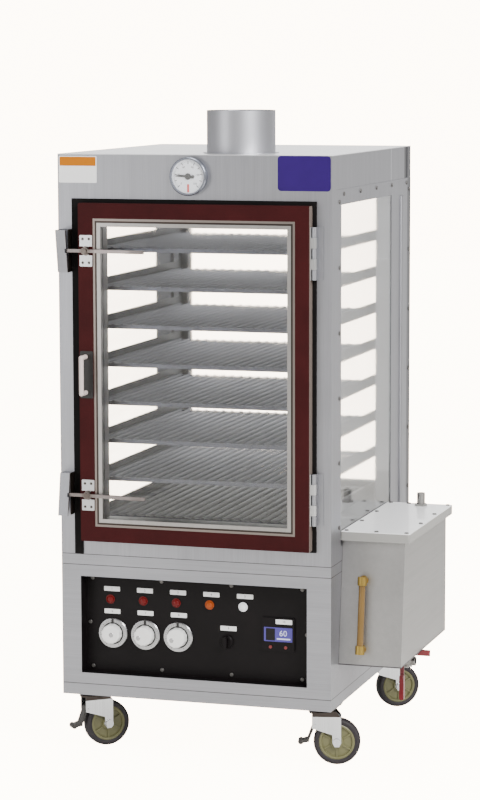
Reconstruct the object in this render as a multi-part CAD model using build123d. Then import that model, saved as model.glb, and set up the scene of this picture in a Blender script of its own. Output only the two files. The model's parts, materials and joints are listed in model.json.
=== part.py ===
from build123d import *
import math
import os

# Steaming cabinet on casters, with a glazed chamber above a boiler housing and a water tank at its side.
# Millimetres. X runs to the right along the front, Y runs from the front to the back, Z is up from the floor.
# Sizes below are measured from the cabinet's front left corner. The last section moves the origin to the
# middle of the whole part's footprint.

# Cabinet body
BODY_W = 600.0
BODY_D = 670.0
BODY_H = 1162.0
CASTER_H = 130.0
SHEET = 1.5
BASE_H = 25.0
LOWER_H = 260.0
DECK_H = 23.0

Z_BASE = CASTER_H
Z_LOWER = Z_BASE + BASE_H
Z_DECK = Z_LOWER + LOWER_H
Z_CHAMBER = Z_DECK + DECK_H
Z_TOP = Z_BASE + BODY_H
Z_ROOF = Z_TOP - SHEET

# Chamber frames, each a folded hollow ring round its opening
FRONT_FRAME_D = 45.0
REAR_FRAME_D = 30.0
SIDE_FRAME_D = 38.5
MOUTH_SIDE = 60.0
MOUTH_SILL = 37.0
MOUTH_HEAD = 117.0
SIDE_WINDOW_FRONT = 31.0
SIDE_WINDOW_REAR = 143.0
LEFT_WINDOW_REAR = 22.0
SIDE_WINDOW_SILL = 32.0
SIDE_WINDOW_HEAD = 104.0
REAR_WINDOW_SIDE = 75.0
REAR_WINDOW_SILL = 82.0
REAR_WINDOW_HEAD = 117.0
PLATE_T = 1.5
PLATE_HEAD = 72.0
GLASS_T = 5.0
REBATE = 8.0
GLASS_GAP = 0.5
RIB_W = 27.0
RIB_H = 5.0
RIB_EDGE = 40.0
RIB_LOW = 12.0
RIB_HIGH = 38.0
CEILING_DROP = 101.0

# Flue
FLUE_R = 72.5
FLUE_H = 90.0
FLUE_X = 368.0
FLUE_Y = 122.0
FLUE_HOLE_GAP = 0.1
FLUE_FLANGE_W = 7.5
FLUE_FLANGE_T = 1.5

# Door
DOOR_LEFT = 53.0
DOOR_EDGE = 40.0
DOOR_SILL = 32.5
DOOR_HEAD = 102.5
DOOR_FRONT = 22.0
GASKET_T = 3.0
SEAL_GAP = 0.3
BAND_W = 32.0
BEZEL_W = 17.0
BEZEL_DEEP = 30.0
BEZEL_SET = 1.5
DOOR_WALL = 2.0
DOOR_CORNER_R = 3.0
GASKET_LEFT = 21.0
GASKET_TOP = 8.5
GASKET_RIGHT = 8.5
GASKET_BOTTOM = 3.0
GASKET_TAIL_W = 18.5
GASKET_LIP_X = 2.0
GASKET_LIP_Z = 5.0

# Door hinges
HINGE_OFFSET = 7.5
HINGE_Y = -14.5
HINGE_LEN = 109.0
HINGE_LOW = 55.5
HINGE_DROP = 152.0
KNUCKLE_R = 5.0
KNUCKLES = 5
KNUCKLE_GAP = 0.4
PIN_R = 2.7
LEAF_T = 2.0
LEAF_W = 13.5
RUN_GAP = 0.08

# Latches
LATCH_X = 71.0
LATCH_DROP = 100.0
LATCH_LOW = 99.5
LATCH_PLATE_W = 28.0
LATCH_PLATE_H = 66.0
LATCH_PLATE_T = 2.0
LATCH_WAIST_W = 12.0
LATCH_WAIST_H = 19.0
STUD_R = 4.0
STUD_HEAD_R = 6.0
STUD_HEAD_T = 2.5
HUB_R = 8.0
HUB_T = 9.0
LEVER_BAR = 7.0
LEVER_T = 7.0
NOSE_T = 4.2
NOSE_REACH = 42.5
LEVER_REACH = 134.0
LEVER_OUT = 44.0
LEVER_BEND = 30.0
MOVE_GAP = 0.3

# Latch keepers on the left post
KEEPER_X0 = 9.0
KEEPER_X1 = 31.5
KEEPER_H = 90.0
KEEPER_HIGH = 42.0
KEEPER_LOW = 28.0
KEEPER_SHIFT = 1.0
KEEPER_T = 2.0
KEEPER_SLOT_GAP = 1.0
NOTCH_GAP = 1.0

# Door pull
PULL_X = 70.0
PULL_Z = 357.0
PULL_PLATE_W = 29.0
PULL_PLATE_H = 100.0
PULL_PLATE_T = 2.0
PULL_BAR_R = 5.0
PULL_LEN = 76.0
PULL_OUT = 26.0
PULL_SIDE = 2.0

# Temperature gauge on the fascia
GAUGE_X = 293.6
GAUGE_DROP = 45.0
GAUGE_R = 40.0
GAUGE_T = 14.0
GAUGE_FACE_R = 35.5
GAUGE_DIAL_SET = 4.5
GAUGE_STEM_R = 5.0
GAUGE_STEM_LEN = 40.0
POINTER_R = 27.0
POINTER_TAIL = 11.0
POINTER_T = 0.8
POINTER_LIFT = 1.0
POINTER_SHAFT_R = 1.5

# Shelves and their racks
SHELF_COUNT = 7
SHELF_PITCH = 82.0
SHELF_TOP_DROP = 199.0
SHELF_X0 = 62.0
SHELF_Y0 = 58.0
SHELF_REAR = 100.0
SHELF_ROD_R = 5.0
SHELF_ROD_PITCH = 21.0
SHELF_RAIL_W = 8.0
SHELF_RAIL_H = 8.0
SHELF_CREST = 2.0
GRID_ROD_R = 5.0
GRID_ROD_PITCH = 21.5
RACK_POST_W = 12.0
RACK_POST_D = 20.0
RACK_Y0 = 50.0
RACK_REAR = 34.0
RACK_GAP = 2.0
RUNNER_T = 1.5
RUNNER_LEDGE = 14.0
RUNNER_H = 24.0

# Boiler pan and heaters
PAN_X0 = 90.5
PAN_Y0 = 100.5
PAN_REAR = 70.5
PAN_DEPTH = 110.0
PAN_FLANGE = 4.5
HEATER_R = 5.0
HEATER_BEND = 28.0
HEATER_Z = 26.0
HEATER_PITCH = 140.0
HEATER_COUNT = 3
HEATER_FRONT_GAP = 30.0
HEATER_FLANGE_W = 84.0
HEATER_FLANGE_H = 24.0
HEATER_FLANGE_T = 4.0
HEATER_TAIL = 18.0

# Control panel, set back in the housing's front
PANEL_X0 = 43.5
PANEL_X1 = 547.5
PANEL_Z0 = 24.0
PANEL_Z1 = 235.0
PANEL_SET = 33.0
PANEL_FLANGE = 12.0
DIAL_X = 104.4
DIAL_PITCH = 74.0
DIAL_Z = 107.6
DIAL_COUNT = 3
DIAL_R = 33.0
DIAL_T = 4.0
DIAL_LIFT = 0.6
KNOB_R = 21.5
KNOB_T = 16.0
SHAFT_R = 3.0
SHAFT_LEN = 14.0
LAMP_X = 98.9
LAMP_PITCH = 74.7
LAMP_Z = 181.5
LAMP_COUNT = 5
LAMP_R = 10.0
LAMP_FLANGE_T = 2.0
LAMP_DOME_R = 8.0
LAMP_DOME_T = 6.0
LAMP_BODY_R = 7.5
LAMP_BODY_LEN = 24.0
SELECTOR_X = 361.5
SELECTOR_Z = 104.0
SELECTOR_R = 14.0
SELECTOR_T = 5.0
SELECTOR_GRIP_W = 8.0
SELECTOR_GRIP_T = 12.0
TIMER_X = 476.0
TIMER_Z = 127.0
TIMER_W = 72.0
TIMER_BEZEL_T = 4.0
TIMER_BODY_W = 66.0
TIMER_BODY_LEN = 50.0
DISPLAY_W = 63.0
DISPLAY_H = 31.0
DISPLAY_SET = 1.0
BUTTON_R = 3.5
BUTTON_SPREAD = 16.8
BUTTON_DROP = 27.0
BUTTON_PROUD = 1.8
BUTTON_LEN = 8.0
BUTTON_TRAVEL = 1.2

# Parts behind the control panel and in the housing
STAT_W = 44.0
STAT_LEN = 34.0
GEAR_X0 = 90.0
GEAR_Y0 = 180.0
GEAR_PLATE_W = 240.0
GEAR_PLATE_D = 130.0
GEAR_PLATE_T = 2.0
CONTACTOR_W = 45.0
CONTACTOR_D = 80.0
CONTACTOR_H = 85.0
CONTACTOR_PITCH = 55.0
CONTACTOR_COUNT = 3
TERMINAL_W = 50.0
TERMINAL_H = 36.0
GEAR_EDGE_X = 10.0
GEAR_EDGE_Y = 20.0
NOSE_STEP_X = 6.0
NOSE_STEP_Y = 18.0
VENT_COUNT = 9
VENT_W = 70.0
VENT_H = 5.0
VENT_PITCH = 16.0
VENT_Z = 70.0
GLAND_X = 470.0
GLAND_Z = 60.0
GLAND_R = 11.0
GLAND_BORE_R = 5.0
GLAND_OUT = 18.0
GLAND_IN = 10.0

# Water tank on the right side
TANK_W = 136.0
TANK_LID_W = 148.0
TANK_LID_Y0 = 80.0
TANK_LID_Y1 = 476.0
TANK_OVER = 12.0
TANK_LEAN = 35.0
TANK_BOTTOM = 90.0
TANK_TOP = 372.0
TANK_LID_H = 20.0
TANK_FLANGE_T = 3.0
TANK_SCREW_EDGE = 9.0
FILL_X = 83.0
FILL_EDGE = 18.0
FILL_R = 9.0
FILL_BORE_R = 6.5
FILL_UP = 29.0
FILL_NUT_R = 14.0
FILL_NUT_T = 5.0
FLOAT_BODY_W = 30.0
FLOAT_BODY_H = 52.0
FLOAT_PIVOT_DROP = 46.0
FLOAT_PIN_R = 3.0
FLOAT_ARM_R = 3.0
FLOAT_ARM_LEN = 170.0
FLOAT_BALL_R = 38.0
FLOAT_DROOP = 40.0
SIGHT_X = 50.0
SIGHT_LOW = 36.0
SIGHT_HIGH = 180.0
SIGHT_TUBE_R = 7.0
SIGHT_TUBE_WALL = 1.5
SIGHT_OUT = 15.0
SIGHT_FIT_R = 10.0
SIGHT_FIT_H = 18.0
SIGHT_NIPPLE_R = 7.0

# Drain valves under the tank
PIPE_R = 10.0
PIPE_BORE_R = 7.5
VALVE_R = 16.0
VALVE_LEN = 36.0
OUTLET_LEN = 8.0
HEX_R = 14.0
HEX_LEN = 8.0
PAN_DRAIN_Y = 322.0
PAN_DRAIN_Z = 47.0
PAN_VALVE_X = 77.0
PAN_LEVER_LEN = 84.0
TANK_DRAIN_Y = 262.0
TANK_DRAIN_DROP = 31.0
TANK_DRAIN_X = 20.0
TANK_VALVE_X = 52.0
TANK_LEVER_LEN = 98.0
VALVE_STEM_R = 4.0
DRAIN_LEVER_T = 3.0
DRAIN_LEVER_W = 9.0
DRAIN_GRIP_W = 10.0
DRAIN_GRIP_T = 12.0

# Casters
CASTER_X = 40.0
CASTER_Y = 70.0
CASTER_PLATE = 76.0
CASTER_PLATE_T = 4.0
CASTER_TRAIL = 33.0
CASTER_TURN = {"front_left": 40.0, "front_right": 14.0, "rear_left": 24.0, "rear_right": 34.0}
WHEEL_R = 50.0
WHEEL_W = 28.0
RACE_R = 28.0
RACE_H = 8.0
KINGPIN_R = 6.0
KING_NUT_R = 10.0
KING_NUT_T = 5.0
FORK_HEAD_R = 27.0
FORK_HEAD_T = 6.0
FORK_T = 2.5
WHEEL_SIDE_GAP = 1.5
AXLE_R = 5.0
AXLE_HEAD_R = 8.5
AXLE_HEAD_T = 4.5
BRAKE_PIN_X = -13.0
BRAKE_PIN_Z = 86.0
BRAKE_PIN_R = 3.0
BRAKE_W = 24.0
BRAKE_T = 4.0
BRAKE_FOOT_X = -44.0
BRAKE_FOOT_Z = 49.0
BRAKE_ROLL_R = 6.0

# Screws
SCREW_HEAD_R = 4.5
SCREW_HEAD_T = 2.2
SCREW_R = 2.5
SCREW_HOLE_GAP = 0.25
SIDE_SCREW_EDGE = 10.0
SIDE_SCREW_FIRST = 50.0
SIDE_SCREW_PITCH = 136.5
SIDE_TOP_SCREWS = 5
SIDE_FRONT_SCREWS = 6
REAR_SCREWS = 4
PANEL_SCREW_EDGE = 9.0
PANEL_SCREWS = 4

# Places worked out from the sizes above
WHEEL_Z = WHEEL_R
MOUTH_X1 = BODY_W - MOUTH_SIDE
CHAMBER_X0 = PLATE_T + SIDE_FRAME_D
CHAMBER_X1 = BODY_W - CHAMBER_X0
SIDE_LEN = BODY_D - FRONT_FRAME_D - REAR_FRAME_D
FRAME_H = Z_ROOF - Z_CHAMBER
PLATE_H = Z_TOP - Z_CHAMBER - PLATE_HEAD
Z_CEILING = Z_TOP - CEILING_DROP
DOOR_Z0 = Z_CHAMBER + DOOR_SILL
DOOR_Z1 = Z_TOP - DOOR_HEAD
DOOR_BACK = -(GASKET_T + SEAL_GAP)
DOOR_FACE = -DOOR_FRONT
GLASS_BACK = DOOR_BACK
GLASS_FACE = GLASS_BACK - GLASS_T
REAR_GLASS_FACE = BEZEL_DEEP - GLASS_T
DOOR_RIGHT = BODY_W - DOOR_EDGE
HINGE_X = DOOR_RIGHT + HINGE_OFFSET
LATCH_FACE = DOOR_FACE - LATCH_PLATE_T
LEVER_BACK = LATCH_FACE - MOVE_GAP
PANEL_Y = PANEL_SET
PANEL_BACK = PANEL_Y + SHEET
SHELF_X1 = BODY_W - SHELF_X0
SHELF_Y1 = BODY_D - SHELF_REAR
RACK_Y1 = BODY_D - RACK_REAR
PAN_X1 = BODY_W - PAN_X0
PAN_Y1 = BODY_D - PAN_REAR
PAN_FLOOR = Z_CHAMBER - PAN_DEPTH
TANK_X0 = BODY_W
TANK_X1 = BODY_W + TANK_W
TANK_Z0 = Z_BASE + TANK_BOTTOM
TANK_Z1 = Z_BASE + TANK_TOP
TANK_RIM = TANK_Z1 - SHEET - TANK_FLANGE_T
TANK_Y0 = TANK_LID_Y0 + TANK_OVER
TANK_Y1 = TANK_LID_Y1 - TANK_OVER
PAN_DRAIN_AT_Z = Z_BASE + PAN_DRAIN_Z
TANK_DRAIN_AT_Z = TANK_Z0 - TANK_DRAIN_DROP
GLAND_Y = BODY_D


# Basic shapes

def block(x0, x1, y0, y1, z0, z1):
    return Pos((x0 + x1) / 2, (y0 + y1) / 2, (z0 + z1) / 2) * Box(x1 - x0, y1 - y0, z1 - z0)


def rod_x(radius, x0, x1, y, z):
    return Pos((x0 + x1) / 2, y, z) * Rot(0, 90, 0) * Cylinder(radius, x1 - x0)


def rod_y(radius, x, y0, y1, z):
    return Pos(x, (y0 + y1) / 2, z) * Rot(90, 0, 0) * Cylinder(radius, y1 - y0)


def rod_z(radius, x, y, z0, z1):
    return Pos(x, y, (z0 + z1) / 2) * Cylinder(radius, z1 - z0)


def prism_xz(points, y0, y1):
    """A plate whose outline is given in X and Z, between two values of Y."""
    outline = Face(Wire.make_polygon([Vector(x, y0, z) for x, z in points], close=True))
    return Solid.extrude(outline, Vector(0, y1 - y0, 0))


def prism_xy(points, z0, z1):
    """A plate whose outline is given in X and Y, between two values of Z."""
    outline = Face(Wire.make_polygon([Vector(x, y, z0) for x, y in points], close=True))
    return Solid.extrude(outline, Vector(0, 0, z1 - z0))


def prism_yz(points, x0, x1):
    """A plate whose outline is given in Y and Z, between two values of X."""
    outline = Face(Wire.make_polygon([Vector(x0, y, z) for y, z in points], close=True))
    return Solid.extrude(outline, Vector(x1 - x0, 0, 0))


def spin_y(points, x, y, z):
    """A turned piece whose outline is radius and distance along +Y."""
    outline = Face(Wire.make_polygon([Vector(r, 0, h) for r, h in points], close=True))
    turned = revolve(outline, Axis.Z, 360)
    return Pos(x, y, z) * Rot(-90, 0, 0) * turned


def group(pieces):
    """Separate solids that share one node."""
    solids = []
    for piece in pieces:
        solids.extend(piece.solids())
    return Compound(children=solids)


def screw(outward):
    """A pan head screw with its head's seat at the origin, facing the given way."""
    head = Pos(0, 0, SCREW_HEAD_T / 2) * Cylinder(SCREW_HEAD_R, SCREW_HEAD_T)
    head = fillet(head.edges().group_by(Axis.Z)[-1], SCREW_HEAD_T * 0.6)
    shank = Pos(0, 0, -SHEET / 2) * Cylinder(SCREW_R, SHEET)
    piece = head + shank
    turns = {
        "+X": Rot(0, 90, 0),
        "-X": Rot(0, -90, 0),
        "+Y": Rot(-90, 0, 0),
        "-Y": Rot(90, 0, 0),
        "+Z": Rot(0, 0, 0),
    }
    return turns[outward] * piece


def screw_holes(places, outward):
    """Clearance holes for screws at the given places."""
    radius = SCREW_R + SCREW_HOLE_GAP
    deep = SHEET + SCREW_HEAD_T
    holes = []
    for x, y, z in places:
        if outward in ("+X", "-X"):
            holes.append(rod_x(radius, x - deep, x + deep, y, z))
        elif outward in ("+Y", "-Y"):
            holes.append(rod_y(radius, x, y - deep, y + deep, z))
        else:
            holes.append(rod_z(radius, x, y, z - deep, z + deep))
    return holes


def spread(first, last, count):
    """Evenly spaced places from first to last."""
    return [first + (last - first) * i / (count - 1) for i in range(count)]


# Hollow frames round the chamber, drawn flat: X along, Z up, the outer face at Y = 0

def ring(x0, x1, z0, z1, left, right, bottom, top, y0, y1):
    outer = block(x0, x1, y0, y1, z0, z1)
    hole = block(x0 + left, x1 - right, y0 - 1, y1 + 1, z0 + bottom, z1 - top)
    return outer - hole


def hollow_frame(length, height, depth, left, right, bottom, top, rebate):
    """A folded sheet ring, open underneath, with a rebate for a pane at its outer face."""
    frame = ring(0, length, 0, height, left, right, bottom, top, 0, depth)
    if rebate > 0:
        seat = block(left - rebate, length - right + rebate, -1, GLASS_T, bottom - rebate,
                     height - top + rebate)
        frame = frame - seat
    step = GLASS_T + SHEET if rebate > 0 else SHEET
    inside = block(SHEET, length - SHEET, SHEET, depth - SHEET, -1, height - SHEET)
    reveal = block(left - SHEET, length - right + SHEET, 0, depth, bottom - SHEET, height - top + SHEET)
    inside = inside - reveal
    if rebate > 0:
        grow = rebate + SHEET
        front = block(left - grow, length - right + grow, 0, step, bottom - grow, height - top + grow)
        inside = inside - front
    return frame - inside


def to_right_side(piece):
    return Pos(BODY_W - PLATE_T, FRONT_FRAME_D, Z_CHAMBER) * Rot(0, 0, 90) * piece


def to_left_side(piece):
    return Pos(BODY_W, 0, 0) * mirror(to_right_side(piece), about=Plane.YZ)


def to_rear(piece):
    return Pos(BODY_W, BODY_D - PLATE_T, Z_CHAMBER) * Rot(0, 0, 180) * piece


def front_frame():
    frame = hollow_frame(BODY_W, FRAME_H, FRONT_FRAME_D, MOUTH_SIDE, MOUTH_SIDE, MOUTH_SILL,
                         MOUTH_HEAD - SHEET, 0)
    stem_z = FRAME_H + SHEET - GAUGE_DROP
    stem_hole = rod_y(GAUGE_STEM_R + RUN_GAP, GAUGE_X, -1, FRONT_FRAME_D - SHEET - 1, stem_z)
    return Pos(0, 0, Z_CHAMBER) * (frame - stem_hole)


def rear_frame():
    frame = hollow_frame(BODY_W, FRAME_H, REAR_FRAME_D - PLATE_T, REAR_WINDOW_SIDE, REAR_WINDOW_SIDE,
                         REAR_WINDOW_SILL, REAR_WINDOW_HEAD - SHEET, REBATE)
    frame = to_rear(frame)
    for hole in screw_holes(corner_screw_places(0), "-X") + screw_holes(corner_screw_places(BODY_W), "+X"):
        frame = frame - hole
    return frame


def side_frame(rear):
    return hollow_frame(SIDE_LEN, FRAME_H, SIDE_FRAME_D, SIDE_WINDOW_FRONT, rear, SIDE_WINDOW_SILL,
                        SIDE_WINDOW_HEAD - SHEET, REBATE)


def side_frames():
    """The left window reaches further back than the right one."""
    return group([to_left_side(side_frame(LEFT_WINDOW_REAR)), to_right_side(side_frame(SIDE_WINDOW_REAR))])


def side_screw_places():
    """Screws of a side plate, drawn flat."""
    places = []
    side = SIDE_WINDOW_FRONT / 2
    for x in spread(SIDE_SCREW_FIRST, SIDE_LEN - SIDE_SCREW_EDGE, SIDE_TOP_SCREWS):
        places.append((x, 0, PLATE_H - SIDE_SCREW_EDGE))
    for z in column_heights():
        places.append((side, 0, z))
    return places


def column_heights():
    """Heights of the screws in an upright column, above the deck."""
    top = PLATE_H - SIDE_SCREW_EDGE - SIDE_WINDOW_FRONT / 2
    return [top - i * SIDE_SCREW_PITCH for i in range(SIDE_FRONT_SCREWS)]


def corner_screw_places(x):
    """Screws in the rear frame's side faces."""
    y = BODY_D - REAR_FRAME_D / 2
    return [(x, y, Z_CHAMBER + z) for z in column_heights()]


def rear_screw_places():
    """Screws of the rear plate, drawn flat."""
    places = []
    edge = SIDE_SCREW_EDGE
    top = PLATE_H - edge
    for x in spread(edge, BODY_W - edge, REAR_SCREWS):
        places.append((x, 0, top))
        places.append((x, 0, edge))
    for z in spread(edge, top, REAR_SCREWS)[1:-1]:
        places.append((edge, 0, z))
        places.append((BODY_W - edge, 0, z))
    return places


def side_plate(rear):
    """Plate that holds a side pane."""
    plate = ring(0, SIDE_LEN, 0, PLATE_H, SIDE_WINDOW_FRONT, rear, SIDE_WINDOW_SILL,
                 SIDE_WINDOW_HEAD - PLATE_HEAD, -PLATE_T, 0)
    for hole in screw_holes(side_screw_places(), "-Y"):
        plate = plate - hole
    return plate


def plate_rib():
    """Raised rib near the right plate's rear edge."""
    x1 = SIDE_LEN - RIB_EDGE
    rib = block(x1 - RIB_W, x1, -PLATE_T - RIB_H, -PLATE_T, RIB_LOW, PLATE_H - RIB_HIGH)
    return fillet(rib.edges().filter_by(Axis.Z).group_by(Axis.Y)[0], RIB_H * 0.8)


def rear_plate():
    plate = ring(0, BODY_W, 0, PLATE_H, REAR_WINDOW_SIDE, REAR_WINDOW_SIDE, REAR_WINDOW_SILL,
                 REAR_WINDOW_HEAD - PLATE_HEAD, -PLATE_T, 0)
    for hole in screw_holes(rear_screw_places(), "-Y"):
        plate = plate - hole
    return plate


def glazing_frames():
    left = side_plate(LEFT_WINDOW_REAR)
    right = side_plate(SIDE_WINDOW_REAR) + plate_rib()
    return group([to_left_side(left), to_right_side(right), to_rear(rear_plate())])


def pane(length, left, right, bottom, top):
    """A pane in a hollow frame's rebate, drawn flat."""
    grow = REBATE - GLASS_GAP
    return block(left - grow, length - right + grow, 0, GLASS_T, bottom - grow, FRAME_H + SHEET - top + grow)


def chamber_glass():
    left = pane(SIDE_LEN, SIDE_WINDOW_FRONT, LEFT_WINDOW_REAR, SIDE_WINDOW_SILL, SIDE_WINDOW_HEAD)
    right = pane(SIDE_LEN, SIDE_WINDOW_FRONT, SIDE_WINDOW_REAR, SIDE_WINDOW_SILL, SIDE_WINDOW_HEAD)
    rear = pane(BODY_W, REAR_WINDOW_SIDE, REAR_WINDOW_SIDE, REAR_WINDOW_SILL, REAR_WINDOW_HEAD)
    return group([to_left_side(left), to_right_side(right), to_rear(rear)])


def roof_panels():
    """The roof sheet and the chamber's ceiling below it."""
    roof = block(0, BODY_W, 0, BODY_D, Z_ROOF, Z_TOP)
    roof = roof - rod_z(FLUE_R + FLUE_HOLE_GAP, FLUE_X, FLUE_Y, Z_ROOF - 1, Z_TOP + 1)
    back = BODY_D - REAR_FRAME_D
    ceiling = block(CHAMBER_X0, CHAMBER_X1, FRONT_FRAME_D, back, Z_CEILING, Z_CEILING + SHEET)
    ceiling = ceiling - rod_z(FLUE_R - SHEET, FLUE_X, FLUE_Y, Z_CEILING - 1, Z_CEILING + SHEET + 1)
    return group([roof, ceiling])


def flue_collar():
    tube = rod_z(FLUE_R, FLUE_X, FLUE_Y, Z_CEILING + SHEET, Z_TOP + FLUE_H)
    tube = tube + rod_z(FLUE_R + FLUE_FLANGE_W, FLUE_X, FLUE_Y, Z_TOP, Z_TOP + FLUE_FLANGE_T)
    return tube - rod_z(FLUE_R - SHEET, FLUE_X, FLUE_Y, Z_CEILING, Z_TOP + FLUE_H + 1)


# Base, housing and deck

def base_tray():
    tray = block(0, BODY_W, 0, BODY_D, Z_BASE, Z_LOWER)
    inside = block(SHEET, BODY_W - SHEET, SHEET, BODY_D - SHEET, Z_BASE + SHEET, Z_LOWER + 1)
    return tray - inside


def vent_slots():
    slots = []
    for i in range(VENT_COUNT):
        z = Z_LOWER + VENT_Z + i * VENT_PITCH
        for x in (BODY_W * 0.3, BODY_W * 0.55):
            slots.append(block(x - VENT_W / 2, x + VENT_W / 2, BODY_D - SHEET - 1, BODY_D + 1, z, z + VENT_H))
    return slots


def lower_housing():
    """Four sheets round the machine space: front with the control opening, two sides and a vented back."""
    front = block(0, BODY_W, 0, SHEET, Z_LOWER, Z_DECK)
    front = front - block(PANEL_X0, PANEL_X1, -1, SHEET + 1, Z_LOWER + PANEL_Z0, Z_LOWER + PANEL_Z1)
    back = block(0, BODY_W, BODY_D - SHEET, BODY_D, Z_LOWER, Z_DECK)
    for slot in vent_slots():
        back = back - slot
    back = back - rod_y(GLAND_R - 2, GLAND_X, BODY_D - SHEET - 1, BODY_D + 1, Z_LOWER + GLAND_Z)
    left = block(0, SHEET, SHEET, BODY_D - SHEET, Z_LOWER, Z_DECK)
    right = block(BODY_W - SHEET, BODY_W, SHEET, BODY_D - SHEET, Z_LOWER, Z_DECK)
    right = right - rod_x(PIPE_R + 0.5, BODY_W - 3, BODY_W + 1, PAN_DRAIN_Y, PAN_DRAIN_AT_Z)
    return group([front, back, left, right])


def deck_frame():
    """The tray between the housing and the chamber, open for the boiler pan."""
    deck = block(0, BODY_W, 0, BODY_D, Z_DECK, Z_CHAMBER)
    deck = deck - block(SHEET, BODY_W - SHEET, SHEET, BODY_D - SHEET, Z_DECK - 1, Z_CHAMBER - SHEET)
    return deck - block(PAN_X0 - SEAL_GAP, PAN_X1 + SEAL_GAP, PAN_Y0 - SEAL_GAP, PAN_Y1 + SEAL_GAP,
                        Z_CHAMBER - SHEET - 1, Z_CHAMBER + 1)


# Boiler

def heater_xs():
    middle = BODY_W / 2
    return [middle + HEATER_PITCH * (i - (HEATER_COUNT - 1) / 2) for i in range(HEATER_COUNT)]


def water_pan():
    pan = block(PAN_X0, PAN_X1, PAN_Y0, PAN_Y1, PAN_FLOOR, Z_CHAMBER + SHEET)
    pan = pan + block(PAN_X0 - PAN_FLANGE, PAN_X1 + PAN_FLANGE, PAN_Y0 - PAN_FLANGE, PAN_Y1 + PAN_FLANGE,
                      Z_CHAMBER, Z_CHAMBER + SHEET)
    pan = pan - block(PAN_X0 + SHEET, PAN_X1 - SHEET, PAN_Y0 + SHEET, PAN_Y1 - SHEET, PAN_FLOOR + SHEET,
                      Z_CHAMBER + SHEET + 1)
    z = PAN_FLOOR + HEATER_Z
    for x in heater_xs():
        for side in (-HEATER_BEND, HEATER_BEND):
            pan = pan - rod_y(HEATER_R + RUN_GAP, x + side, PAN_Y1 - SHEET - 1, PAN_Y1 + 1, z)
    drain_x = BODY_W / 2 + HEATER_PITCH / 2
    return pan - rod_z(PIPE_BORE_R, drain_x, PAN_DRAIN_Y, PAN_FLOOR - 1, PAN_FLOOR + SHEET + 1)


def heating_element(x):
    """One U-shaped heater, fixed through the pan's rear wall by a flange outside it."""
    z = PAN_FLOOR + HEATER_Z
    front = PAN_Y0 + SHEET + HEATER_FRONT_GAP + HEATER_BEND + HEATER_R
    back = PAN_Y1 + HEATER_FLANGE_T + HEATER_TAIL
    legs = [rod_y(HEATER_R, x + side, front, back, z) for side in (-HEATER_BEND, HEATER_BEND)]
    bend = Pos(x, front, z) * Torus(HEATER_BEND, HEATER_R)
    bend = bend & block(x - 2 * HEATER_BEND, x + 2 * HEATER_BEND, front - 2 * HEATER_BEND, front,
                        z - 2 * HEATER_R, z + 2 * HEATER_R)
    flange = block(x - HEATER_FLANGE_W / 2, x + HEATER_FLANGE_W / 2, PAN_Y1, PAN_Y1 + HEATER_FLANGE_T,
                   z - HEATER_FLANGE_H / 2, z + HEATER_FLANGE_H / 2)
    return legs[0] + legs[1] + bend + flange


def heating_elements():
    return group([heating_element(x) for x in heater_xs()])


def ball_valve_x(x, y, z):
    """A ball valve body along X with hexagon ends."""
    body = rod_x(VALVE_R, x - VALVE_LEN / 2 + HEX_LEN, x + VALVE_LEN / 2 - HEX_LEN, y, z)
    nut = extrude(RegularPolygon(HEX_R, 6), HEX_LEN)
    left = Pos(x - VALVE_LEN / 2, y, z) * Rot(0, 90, 0) * nut
    right = Pos(x + VALVE_LEN / 2 - HEX_LEN, y, z) * Rot(0, 90, 0) * nut
    return body + left + right


def drain_pipes():
    """The pan's drain line and the tank's drain line, each with its ball valve."""
    pan_x = BODY_W / 2 + HEATER_PITCH / 2
    valve_x = BODY_W + PAN_VALVE_X
    out_x = valve_x + VALVE_LEN / 2 + OUTLET_LEN
    pan = rod_z(PIPE_R, pan_x, PAN_DRAIN_Y, PAN_DRAIN_AT_Z, PAN_FLOOR)
    pan = pan + Pos(pan_x, PAN_DRAIN_Y, PAN_DRAIN_AT_Z) * Sphere(PIPE_R)
    pan = pan + rod_x(PIPE_R, pan_x, out_x, PAN_DRAIN_Y, PAN_DRAIN_AT_Z)
    pan = pan - rod_z(PIPE_BORE_R, pan_x, PAN_DRAIN_Y, PAN_DRAIN_AT_Z, PAN_FLOOR + 1)
    pan = pan + ball_valve_x(valve_x, PAN_DRAIN_Y, PAN_DRAIN_AT_Z)
    pan = pan + rod_y(VALVE_STEM_R, valve_x, PAN_DRAIN_Y - VALVE_R - HEX_LEN, PAN_DRAIN_Y, PAN_DRAIN_AT_Z)
    pan = pan - rod_x(PIPE_BORE_R, out_x - VALVE_LEN / 2, out_x + 1, PAN_DRAIN_Y, PAN_DRAIN_AT_Z)
    tank_x = BODY_W + TANK_DRAIN_X
    tank_valve = BODY_W + TANK_VALVE_X
    tank_out = tank_valve + VALVE_LEN / 2 + OUTLET_LEN
    tank = rod_z(PIPE_R, tank_x, TANK_DRAIN_Y, TANK_DRAIN_AT_Z, TANK_Z0)
    tank = tank + Pos(tank_x, TANK_DRAIN_Y, TANK_DRAIN_AT_Z) * Sphere(PIPE_R)
    tank = tank + rod_x(PIPE_R, tank_x, tank_out, TANK_DRAIN_Y, TANK_DRAIN_AT_Z)
    tank = tank - rod_z(PIPE_BORE_R, tank_x, TANK_DRAIN_Y, TANK_DRAIN_AT_Z, TANK_Z0 + 1)
    tank = tank + ball_valve_x(tank_valve, TANK_DRAIN_Y, TANK_DRAIN_AT_Z)
    tank = tank + rod_z(VALVE_STEM_R, tank_valve, TANK_DRAIN_Y, TANK_DRAIN_AT_Z, tank_stem_top())
    tank = tank - rod_x(PIPE_BORE_R, tank_out - VALVE_LEN / 2, tank_out + 1, TANK_DRAIN_Y, TANK_DRAIN_AT_Z)
    return group([pan, tank])


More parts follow.
